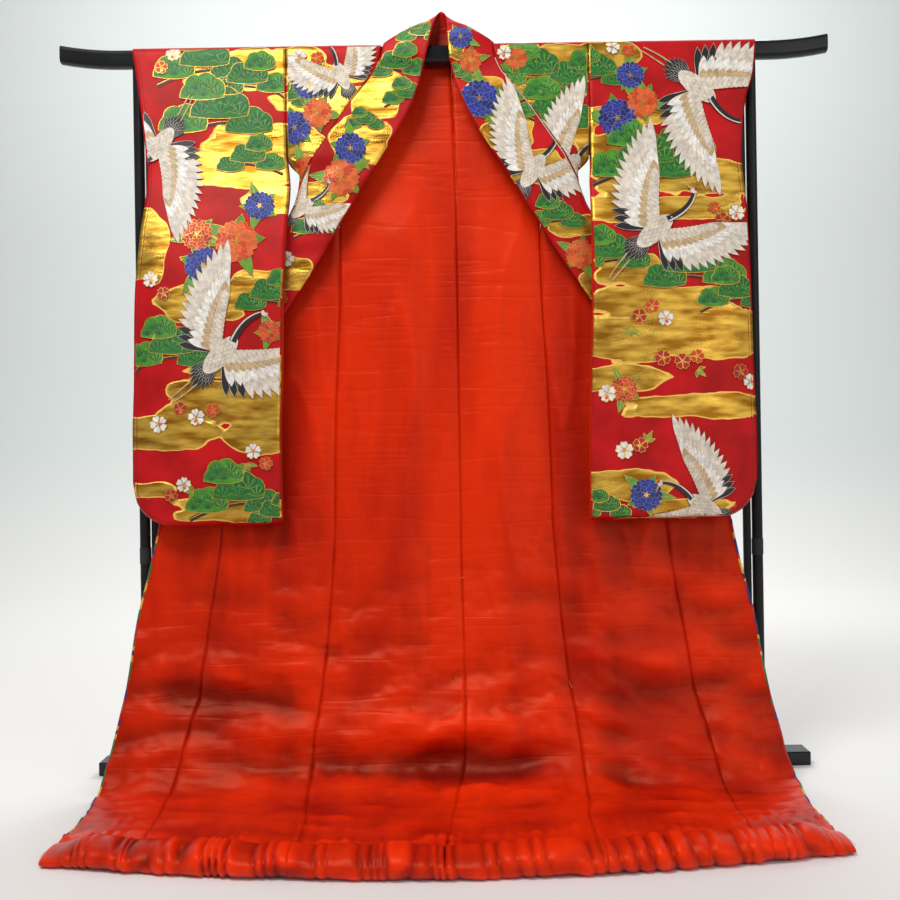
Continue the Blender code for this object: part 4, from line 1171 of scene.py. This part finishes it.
def leaves(art, x, z, size, count, start, sweep, level=3):
    for k in range(count):
        angle = start + sweep * k / max(count - 1, 1)
        shape = turned(blade(size * (0.85 + 0.3 * (k % 2)), size * 0.42, 0.8), angle, x, z)
        art.fill(shape, "leaf" if k % 2 else "moss", level)
        art.band(shape, 0.0010, "gold", level + 0.5)
        tip = shape[8]
        ribbon(art, [(x, z), tip], (0.0012, 0.0006), "gold", level + 0.8)


def peony(art, x, z, size, family, level=5, spin=0.0):
    """Four rings of ruffled petals, outlined in a pale or gold thread."""
    dark, main, edge = family
    leaves(art, x, z, size * 1.45, 5, spin + 0.5, 5.0, level - 2)
    for ring, (reach, count) in enumerate(((1.0, 9), (0.78, 8), (0.55, 6), (0.34, 5))):
        for k in range(count):
            angle = spin + 0.4 * ring + 2 * math.pi * k / count
            petal = turned(round_petal(size * reach, size * reach * 0.78, 0.22), angle, x, z)
            art.fill(petal, main if (k + ring) % 3 else dark, level + ring * 0.8 + 0.15 * (k % 3))
            art.band(petal, 0.0007, edge, level + ring * 0.8 + 0.5)
    for k in range(6):
        angle = spin + math.pi / 3 * k
        tip = (x - math.sin(angle) * size * 0.17, z + math.cos(angle) * size * 0.17)
        ribbon(art, [(x, z), tip], (0.0022, 0.0016), "gold", level + 4)


def pine_clump(art, x, z, width, height, level, shade):
    """A dome of needles with a lobed rim."""
    rim = []
    steps = 26
    for k in range(steps + 1):
        a = math.pi * k / steps
        lobe = 0.94 + 0.12 * abs(math.sin(3.5 * a)) ** 0.7
        rim.append((x + width / 2 * math.cos(a) * lobe, z + height * max(math.sin(a), 0.0) ** 0.75 * lobe))
    foot = [(x - width / 2 + width * k / 7, z - 0.006 * math.sin(math.pi * k / 7)) for k in range(1, 7)]
    outline = rim + foot
    art.fill(outline, shade, level, 4)
    art.band(outline, 0.0014, "gold", level + 1.2)
    other = "moss" if shade == "green" else "green"
    fans = ((-0.33, 0.05, 0.42), (0.33, 0.05, 0.42), (-0.17, 0.34, 0.50), (0.17, 0.34, 0.50),
            (0.0, 0.06, 0.60))
    for number, (dx, dz, far) in enumerate(fans):
        bx, bz = x + dx * width, z + dz * height
        for k in range(9):
            a = math.pi * (0.08 + 0.84 * k / 8)
            tip = (bx + far * 0.42 * width * math.cos(a), bz + far * height * math.sin(a))
            thread = "pine" if k % 2 else ("leaf" if number % 2 else other)
            ribbon(art, [(bx, bz), tip], (0.0012, 0.0018), thread, level + 0.7 + 0.05 * number)


def pine_bough(art, x, z, size, flip=1, level=1):
    """Clumps stepped along a twisting branch."""
    branch = curve_line((x - flip * size * 0.55, z - size * 0.33), (x + flip * size * 0.05, z - size * 0.02),
                        (x + flip * size * 0.52, z - size * 0.22))
    ribbon(art, branch, (size * 0.055, size * 0.02), "bark", level)
    ribbon(art, [(px, pz + 0.002) for px, pz in branch], (0.0016, 0.001), "gold", level + 0.4)
    table = [(-0.34, -0.22, 0.50, 0.27, "moss"), (0.34, -0.24, 0.48, 0.25, "green"),
             (0.04, -0.08, 0.60, 0.31, "green"), (-0.14, 0.12, 0.46, 0.26, "moss")]
    for k, (dx, dz, w, h, shade) in enumerate(table):
        pine_clump(art, x + flip * dx * size, z + dz * size, w * size, h * size, level + 1 + k * 1.3, shade)


def wing(art, x, z, lead, sweep, span, turn, level, flip):
    """Long outer feathers, black inner ones and two rows of short coverts."""
    count = 15
    arm = span * 0.42
    for k in range(count):
        t = k / (count - 1)
        base = (x - flip * math.sin(lead) * arm * (1 - t), z + math.cos(lead) * arm * (1 - t))
        angle = lead + turn * sweep * t
        length = span * (0.62 - 0.20 * t)
        dark = t > 0.82
        shape = turned(feather(length, span * 0.088), angle, 0, 0)
        shape = [(base[0] + flip * px, base[1] + pz) for px, pz in shape]
        art.fill(shape, "black" if dark else "cream", level + 0.25 * (count - k) / count)
        art.band(shape, 0.0010, "beige" if not dark else "cream", level + 0.4)
    for row, (reach, wide, colour) in enumerate(((0.34, 0.090, "white"), (0.22, 0.085, "beige"),
                                                 (0.14, 0.075, "cream"))):
        for k in range(12):
            t = k / 11
            base = (x - flip * math.sin(lead) * arm * (1 - t), z + math.cos(lead) * arm * (1 - t))
            angle = lead + turn * sweep * t * 0.9
            shape = turned(feather(span * reach, span * wide), angle, 0, 0)
            shape = [(base[0] + flip * px, base[1] + pz) for px, pz in shape]
            art.fill(shape, colour, level + 0.9 + row * 0.5)
            art.band(shape, 0.0009, "beige" if colour != "beige" else "cream", level + 1.1 + row * 0.5)


def crane(art, x, z, size, heading, flip=1, level=8, rise_far=0.9, rise_near=-0.7):
    """A flying crane: heading turns it, flip mirrors it; its two wings have their own lifts."""
    def at(px, pz):
        return turned([(px, pz)], heading, 0, 0)[0]

    def world(points):
        return [(x + flip * a, z + b) for a, b in (at(px * size, pz * size) for px, pz in points)]

    for k in range(9):
        angle = math.pi + (k - 4) * 0.16
        plume = blade(0.27 - 0.02 * abs(k - 4), 0.062, 0.75)
        shape = [(px, pz - 0.15) for px, pz in turned(plume, angle, 0, 0)]
        art.fill(world(shape), "black", level - 0.5 + 0.1 * (k % 2))
        art.band(world(shape), 0.0005, "cream", level - 0.2)
    for off in (-0.015, 0.02):
        line = world(curve_line((off, -0.22), (off * 2, -0.42), (off + 0.05, -0.62)))
        ribbon(art, line, (0.0040, 0.0025), "beige", level - 1)
    wing(art, x + flip * at(0, 0.02 * size)[0], z + at(0, 0.02 * size)[1], heading + rise_far, 1.5,
         size * 0.95, 1, level + 0.2, flip)
    body = [(0.085 * math.cos(a), -0.05 + 0.20 * math.sin(a)) for a in np.linspace(0, 2 * math.pi, 22)[:-1]]
    wing(art, x + flip * at(0.02 * size, 0)[0], z + at(0.02 * size, 0)[1], heading + rise_near, 1.5,
         size * 0.9, -1, level + 0.2, flip)
    art.fill(world(body), "cream", level + 3, 3)
    for row in range(4):
        for k in range(4):
            scale_at = (-0.055 + 0.037 * k, 0.08 - 0.07 * row)
            shape = [(px + scale_at[0], pz + scale_at[1]) for px, pz in
                     turned(blade(0.07, 0.036, 0.7), math.pi, 0, 0)]
            art.band(world(shape), 0.0008, "beige", level + 3.5)
    neck = curve_line((0.0, 0.10), (0.07, 0.30), (-0.02, 0.44))
    ribbon(art, world(neck), (size * 0.062, size * 0.030), "black", level + 3.2)
    ribbon(art, world([(px + 0.017, pz) for px, pz in neck]), (size * 0.014, size * 0.008), "cream",
           level + 3.6)
    head = [(-0.035 + 0.032 * math.cos(a), 0.455 + 0.024 * math.sin(a))
            for a in np.linspace(0, 2 * math.pi, 14)[:-1]]
    art.fill(world(head), "cream", level + 3.8)
    crown = [(-0.030 + 0.018 * math.cos(a), 0.474 + 0.009 * math.sin(a))
             for a in np.linspace(0, 2 * math.pi, 12)[:-1]]
    art.fill(world(crown), "red", level + 4.2)
    ribbon(art, world([(-0.055, 0.455), (-0.145, 0.440)]), (size * 0.018, size * 0.004), "beige", level + 4)


class Panel:
    """A piece of cloth that shapes are laid on: its sheet, its side edges at a height, and its ends."""

    def __init__(self, name, sheets, left, right, low, high, view):
        self.name, self.left, self.right, self.low, self.high, self.view = name, left, right, low, high, view
        graph = bpy.context.evaluated_depsgraph_get()
        self.trees = [BVHTree.FromObject(s, graph) for s in sheets]
        self.verts, self.faces, self.tints, self.metal = [], [], [], []

    def inside(self, x, z):
        z_in = min(max(z, self.low), self.high)
        x_in = min(max(x, self.left(z_in)), self.right(z_in))
        side = (x_in > x + 1e-6) - (x_in < x - 1e-6), (z_in > z + 1e-6) - (z_in < z - 1e-6)
        return x_in, z_in, side

    def point(self, x, z):
        start = Vector((x, -2.0 * self.view, z))
        hits = [tree.ray_cast(start, Vector((0, self.view, 0)), 4.0)[0] for tree in self.trees]
        depths = [hit.y * self.view for hit in hits if hit is not None]
        return min(depths) * self.view if depths else None

    def add(self, points, faces, colour, level):
        placed, sides = [], []
        for x, z in points:
            x_in, z_in, side = self.inside(x, z)
            placed.append((x_in, z_in))
            sides.append(side)
        used = {}
        for face in faces:
            if any(all(sides[i][axis] == value for i in face) for axis in (0, 1) for value in (-1, 1)):
                continue
            if len({placed[i] for i in face}) < len(face):
                continue
            corners = []
            for i in face:
                if i not in used:
                    y = self.point(*placed[i])
                    used[i] = None
                    if y is not None:
                        used[i] = len(self.verts)
                        raise_by = self.view * (LIFT + LEVEL * level)
                        self.verts.append((placed[i][0], y - raise_by, placed[i][1]))
                corners.append(used[i])
            if None in corners:
                continue
            self.faces.append(corners)
            self.tints.append(THREAD[colour])
            self.metal.append(1 if colour == "gold" else 0)

    def lay(self, art):
        for kind, shape, colour, level, extra in art.shapes:
            if kind == "fill":
                self.lay_fill(shape, colour, level, extra)
            elif kind == "band":
                inner = self.inner_line(shape, extra)
                count = len(shape)
                points = list(shape) + inner
                faces = [(k, (k + 1) % count, count + (k + 1) % count, count + k) for k in range(count)]
                self.add(points, faces, colour, level)
            else:
                left, right = shape
                count = len(left)
                faces = [(k, k + 1, count + k + 1, count + k) for k in range(count - 1)]
                self.add(list(left) + list(right), faces, colour, level)

    def inner_line(self, shape, width):
        cx = sum(p[0] for p in shape) / len(shape)
        cz = sum(p[1] for p in shape) / len(shape)
        inner = []
        for x, z in shape:
            size = math.hypot(cx - x, cz - z) or 1.0
            pull = min(width / size, 0.8)
            inner.append((x + (cx - x) * pull, z + (cz - z) * pull))
        return inner

    def lay_fill(self, shape, colour, level, rings):
        count = len(shape)
        cx = sum(p[0] for p in shape) / count
        cz = sum(p[1] for p in shape) / count
        reach = max(math.hypot(x - cx, z - cz) for x, z in shape)
        rings = max(rings, int(reach / 0.011))
        points = [(cx, cz)]
        for ring in range(1, rings + 1):
            t = ring / rings
            points += [(cx + (x - cx) * t, cz + (z - cz) * t) for x, z in shape]
        faces = [(0, 1 + (k + 1) % count, 1 + k) for k in range(count)]
        for ring in range(1, rings):
            a, b = 1 + (ring - 1) * count, 1 + ring * count
            faces += [(a + k, a + (k + 1) % count, b + (k + 1) % count, b + k) for k in range(count)]
        self.add(points, faces, colour, level)

    def finish(self, silk, metal):
        mesh = bpy.data.meshes.new(self.name)
        mesh.from_pydata(self.verts, [], self.faces)
        tint = mesh.color_attributes.new("tint", "FLOAT_COLOR", "CORNER")
        corner = 0
        for face, colour in zip(mesh.polygons, self.tints):
            face.use_smooth = True
            for _ in face.vertices:
                tint.data[corner].color = (*colour, 1.0)
                corner += 1
        mesh.materials.append(silk)
        mesh.materials.append(metal)
        mesh.polygons.foreach_set("material_index", self.metal)
        made = linked(self.name, mesh)
        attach(made, "root")


def draw(table):
    """Turns one panel's table into shapes."""
    art = Stitching()
    for number, (kind, x, z, size, *rest) in enumerate(table):
        if kind == "pine":
            pine_bough(art, x, z, size, rest[0], 1 + number % 2)
        elif kind == "peony":
            peony(art, x, z, size, rest[0], 6, 0.7 * number)
        elif kind == "blossom":
            blossom(art, x, z, size, rest[0], 7, 0.9 * number)
        elif kind == "leaves":
            leaves(art, x, z, size, rest[0], rest[1], rest[2], 5)
        elif kind == "crane":
            crane(art, x, z, size, rest[0], rest[1], 9)
    return art


def edge_from(table):
    """A function of height through pairs of height and X."""
    pairs = sorted(table)
    zs = [p[0] for p in pairs]
    xs = [p[1] for p in pairs]
    return lambda z: float(np.interp(z, zs, xs))


def embroider(name, sheets, left, right, low, high, view, table):
    panel = Panel(name, sheets, left, right, low, high, view)
    panel.lay(draw(table))
    panel.finish(thread_look, gold_look)


def sleeve_edges(sign):
    """The two side edges of a sleeve's front, left one first."""
    column = 1 if sign < 0 else 3
    inner, outer = [], []
    for k in range(101):
        z = SLEEVE_BOTTOM + 0.003 + (1.502 - SLEEVE_BOTTOM) * k / 100
        far = smooth(SLEEVE, column + 1, z) - 0.0035
        inside = SLEEVE_CORNER - (z - SLEEVE_BOTTOM)
        if inside > 0:
            far -= SLEEVE_CORNER - math.sqrt(max(SLEEVE_CORNER ** 2 - inside ** 2, 0.0))
        inner.append((z, sign * (smooth(SLEEVE, column, z) + 0.003)))
        outer.append((z, sign * far))
    return (edge_from(outer), edge_from(inner)) if sign < 0 else (edge_from(inner), edge_from(outer))


def front_edges(sign):
    """The outer and the collar edges of the front that faces outwards, left one first."""
    outer, inner = [], []
    rows, downs = front_rows("body", 24, 0.03, 0.86, sign)
    laps, _ = front_rows("okumi", 8, 0.03, 0.86, sign)
    for row, lap, down in zip(rows, laps, downs):
        last = lap[-1] if down > OKUMI_TOP + 0.012 else row[-1]
        far = max(row, key=lambda p: sign * p[0])
        outer.append((far[2], far[0] - sign * 0.004))
        inner.append((last[2], last[0] + sign * 0.003))
    return (edge_from(outer), edge_from(inner)) if sign < 0 else (edge_from(inner), edge_from(outer))


def collar_edges(sign):
    """The seam and the free edge of one half of the collar, left one first."""
    rows, _ = front_rows("collar", 4, 0.06, 0.85, sign)
    seam = [(row[0][2], row[0][0] - sign * 0.003) for row in rows if row[0][2] < 1.47]
    free = [(row[-1][2], row[-1][0] + sign * 0.003) for row in rows if row[-1][2] < 1.47]
    for values in NECK[:5]:
        lean = NECK_LEAN * min(max((values[2] - 1.47) / 0.11, 0.0), 1.0)
        free.append((values[2], CENTRE_X + lean + sign * (values[0] + 0.003)))
    seam += [(1.500, CENTRE_X + sign * 0.104), (1.560, CENTRE_X + sign * 0.06)]
    return (edge_from(seam), edge_from(free)) if sign < 0 else (edge_from(free), edge_from(seam))


def back_edges():
    left, right = [], []
    for down in downs_between(0.05, 1.45):
        z = back_yz(down)[1]
        reach = smooth(BODY, 4, down) if down > 0.3 else smooth(BODY, 2, down)
        reach -= 0.018
        left.append((z, CENTRE_X - reach))
        right.append((z, CENTRE_X + reach))
    return edge_from(left), edge_from(right)


TUBE_SIDES = 6


def tube(name, points, radius, look):
    """A thin cord or row of stitches along a line of points."""
    line = [Vector(p) for p in points]
    verts, faces = [], []
    for k, p in enumerate(line):
        ahead = (line[min(k + 1, len(line) - 1)] - line[max(k - 1, 0)]).normalized()
        side = ahead.cross(Vector((0.13, -0.97, 0.21))).normalized()
        other = ahead.cross(side)
        for step in range(TUBE_SIDES):
            angle = 2 * math.pi * step / TUBE_SIDES
            verts.append(p + (side * math.cos(angle) + other * math.sin(angle)) * radius)
    for k in range(len(line) - 1):
        for step in range(TUBE_SIDES):
            a, b = TUBE_SIDES * k + step, TUBE_SIDES * k + (step + 1) % TUBE_SIDES
            faces.append((a, b, b + TUBE_SIDES, a + TUBE_SIDES))
    faces += [tuple(range(TUBE_SIDES - 1, -1, -1)), tuple(range(len(verts) - TUBE_SIDES, len(verts)))]
    mesh = bpy.data.meshes.new(name)
    mesh.from_pydata(verts, [], faces)
    mesh.shade_smooth()
    mesh.materials.append(look)
    made = linked(name, mesh)
    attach(made, "root")


STITCH_LIFT = 0.0005


def on_sheet(sheets, pairs, view=1):
    """Points on the cloth's viewer side at pairs of X and Z."""
    finder = Panel("finder", sheets, None, None, 0, 0, view)
    found = [(x, finder.point(x, z), z) for x, z in pairs]
    return [(x, y - view * STITCH_LIFT, z) for x, y, z in found if y is not None]


def edge_line(sign):
    """The free edge of the spread front, from under the sleeve down to the hem's corner."""
    points, downs = front_rows("okumi", 34, OKUMI_TOP + 0.012, HEM_DOWN, sign)
    bent = creased(points, downs, sign, LINING_GAP / 2)
    return [tuple(bent[r, -1]) for r, down in enumerate(downs) if 0.95 < down < 1.84]


# The garment
parts = {}
for side_name, sign in (("left", -1), ("right", 1)):
    body, back_lining, front_lining = body_length(side_name, sign)
    panel, panel_lining = overlap_panel(side_name, sign)
    parts["body_" + side_name] = body
    parts["lining_back_" + side_name] = back_lining
    parts["lining_front_" + side_name] = front_lining
    parts["okumi_" + side_name] = panel
    parts["lining_okumi_" + side_name] = panel_lining
    parts["sleeve_" + side_name] = sleeve(side_name, sign)
parts["collar"] = collar_band()
for node, made in parts.items():
    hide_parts(node)
hem_rolls()

# Embroidery
bpy.context.view_layer.update()
for side_name, sign, sleeve_table, front_table, collar_table in (
        ("left", -1, LEFT_SLEEVE, LEFT_SHOULDER, COLLAR_LEFT),
        ("right", 1, RIGHT_SLEEVE, RIGHT_SHOULDER, COLLAR_RIGHT)):
    low, high = SLEEVE_BOTTOM + 0.004, 1.500
    sheets = [parts["sleeve_" + side_name]]
    embroider("embroidery_sleeve_" + side_name, sheets, *sleeve_edges(sign), low, high, 1, sleeve_table)
    embroider("embroidery_sleeve_back_" + side_name, sheets, *sleeve_edges(sign), low, high, -1,
              [(k, x, z + 0.02, *rest) for k, x, z, *rest in sleeve_table])
    sheets = [parts["body_" + side_name], parts["okumi_" + side_name]]
    embroider("embroidery_front_" + side_name, sheets, *front_edges(sign), 0.72, 1.500, 1, front_table)
    embroider("embroidery_collar_" + side_name, [parts["collar"]], *collar_edges(sign), 0.72, 1.570, 1,
              collar_table)
embroider("embroidery_back", [parts[n] for n in ("body_left", "body_right", "okumi_left", "okumi_right")],
          *back_edges(), 0.09, 1.470, -1, BACK_PANEL)

# Piping on the spread edges, stitch rows inside the sleeves' edges, loose threads at the hem's corners
PIPING_RADIUS = 0.0026
STITCH_RADIUS = 0.0005
THREAD_RADIUS = 0.0004
SEAM_LINE_RADIUS = 0.0009
for side_name, sign in (("left", -1), ("right", 1)):
    tube("edge_piping_" + side_name, edge_line(sign), PIPING_RADIUS, piping_look)
    left_edge, right_edge = sleeve_edges(sign)
    outer = left_edge if sign < 0 else right_edge
    heights_down = np.linspace(1.495, SLEEVE_BOTTOM + 0.006, 160)
    for view_from in (1, -1):
        pairs = [(outer(z) - sign * 0.0055, z) for z in heights_down]
        tube("sleeve_stitches_%s_%s" % (side_name, "front" if view_from > 0 else "back"),
             on_sheet([parts["sleeve_" + side_name]], pairs, view_from), STITCH_RADIUS, stitch_look)
    hem = front_rows("okumi", 4, HEM_DOWN - 0.01, HEM_DOWN, sign)[0][-1][-1]
    corner = Vector((CENTRE_X + sign * (smooth(BODY, 5, HEM_DOWN) - 0.001), hem[1] - 0.045, 0.010))
    for k in range(6):
        turn_to = sign * (0.4 + 0.5 * k)
        reach = Vector((math.cos(turn_to) * sign * 0.6, -0.5 + 0.2 * k, 0.0)) * 0.022
        reach.x = sign * min(abs(reach.x), 0.012)
        middle = corner + reach * 0.5 + Vector((0, 0, 0.006 - 0.002 * k))
        end = corner + reach + Vector((0, 0, -0.006))
        end.z = max(end.z, 0.0012)
        line = [corner * (1 - t) ** 2 + middle * 2 * t * (1 - t) + end * t * t for t in np.linspace(0, 1, 7)]
        tube("corner_thread_%s_%d" % (side_name, k), line, THREAD_RADIUS, white_thread_look)
seam_rows, _ = front_rows("collar", 4, 0.05, 0.34, 1)
tube("collar_seam_line", on_sheet([parts["collar"], parts["body_right"]],
                                  [(row[0][0] - 0.0015, row[0][2]) for row in seam_rows]),
     SEAM_LINE_RADIUS, white_thread_look)

# The stand keeps its CAD shapes and takes its looks here
STAND = {"crossbar": lacquer_look, "floor_rail": lacquer_look}
for stem, look in (("foot", lacquer_look), ("runner_front", lacquer_look), ("runner_back", lacquer_look),
                   ("upright_lower", satin_look), ("upright_upper", satin_look),
                   ("upright_joint", joint_look), ("slim_pole", satin_look)):
    for side_name in ("left", "right"):
        STAND["%s_%s" % (stem, side_name)] = look
for node, look in STAND.items():
    cad = frame["nodes"][node]
    cad.data.materials.clear()
    cad.data.materials.append(look)


# The name stem of each sheet, worked out and not used further
for node, made in parts.items():
    stem = node.rsplit("_", 1)[0] if node != "collar" else node

# Room, light and camera
BAR_DISTANCE = 2.27
CAMERA_HEIGHT = 0.661
CAMERA_ROLL = 0.9
LENS = 43.4
WALL_Y = 5.0
CURVE = 2.2
ROOM_HALF = 8.0
WALL_TOP = 6.0


def backdrop():
    """A paper sweep: floor, a wide curve and the wall, one tone running into the other."""
    g = Graph("Backdrop")
    height = g.node("ShaderNodeSeparateXYZ")
    g.put(g.place(), height.inputs[0])
    tone = g.mix(g.spread(height.outputs["Z"], 0.0, 0.7), (0.84, 0.82, 0.80), (0.72, 0.755, 0.735))
    g.set(Base_Color=tone, Roughness=0.8)
    profile = [(-ROOM_HALF, 0.0), (WALL_Y - CURVE, 0.0)]
    for k in range(1, 25):
        angle = math.pi / 2 * k / 24
        profile.append((WALL_Y - CURVE + CURVE * math.sin(angle), CURVE * (1 - math.cos(angle))))
    profile.append((WALL_Y, WALL_TOP))
    verts = [(x, y, z - 0.0004) for y, z in profile for x in (-ROOM_HALF, ROOM_HALF)]
    faces = [(2 * k, 2 * k + 1, 2 * k + 3, 2 * k + 2) for k in range(len(profile) - 1)]
    mesh = bpy.data.meshes.new("backdrop")
    mesh.from_pydata(verts, [], faces)
    mesh.shade_smooth()
    mesh.materials.append(g.material)
    made = linked("backdrop", mesh)


backdrop()


def area_light(name, at, aim, size, power, colour=(1.0, 1.0, 1.0)):
    data = bpy.data.lights.new(name, "AREA")
    data.shape = "RECTANGLE"
    data.size, data.size_y = size
    data.energy = power
    data.color = colour
    made = linked(name, data)
    made.location = at
    made.rotation_euler = (Vector(aim) - Vector(at)).to_track_quat("-Z", "Y").to_euler()


area_light("key", (-0.9, SHIFT_Y - 1.7, 3.1), (0, SHIFT_Y, 0.8), (1.2, 0.8), 62)
area_light("fill", (1.8, SHIFT_Y - 2.6, 1.7), (0, SHIFT_Y, 0.7), (1.6, 1.4), 16)
area_light("wall_wash", (0, 2.6, 4.2), (0, WALL_Y, 1.0), (5.0, 1.2), 120)
area_light("behind", (0.6, SHIFT_Y + 2.4, 2.9), (0, SHIFT_Y, 0.8), (1.6, 1.0), 34)

world = bpy.data.worlds.new("Room")
bpy.context.scene.world = world
world.use_nodes = True
world.node_tree.nodes["Background"].inputs["Color"].default_value = (0.86, 0.90, 0.92, 1.0)
world.node_tree.nodes["Background"].inputs["Strength"].default_value = 0.36

camera_data = bpy.data.cameras.new("camera")
camera_data.lens = LENS
camera = linked("camera", camera_data)
camera.location = (0.0, SHIFT_Y - BAR_DISTANCE, CAMERA_HEIGHT)
camera.rotation_euler = (math.pi / 2, math.radians(CAMERA_ROLL), 0.0)
bpy.context.scene.camera = camera
bpy.context.scene.view_settings.view_transform = "Standard"
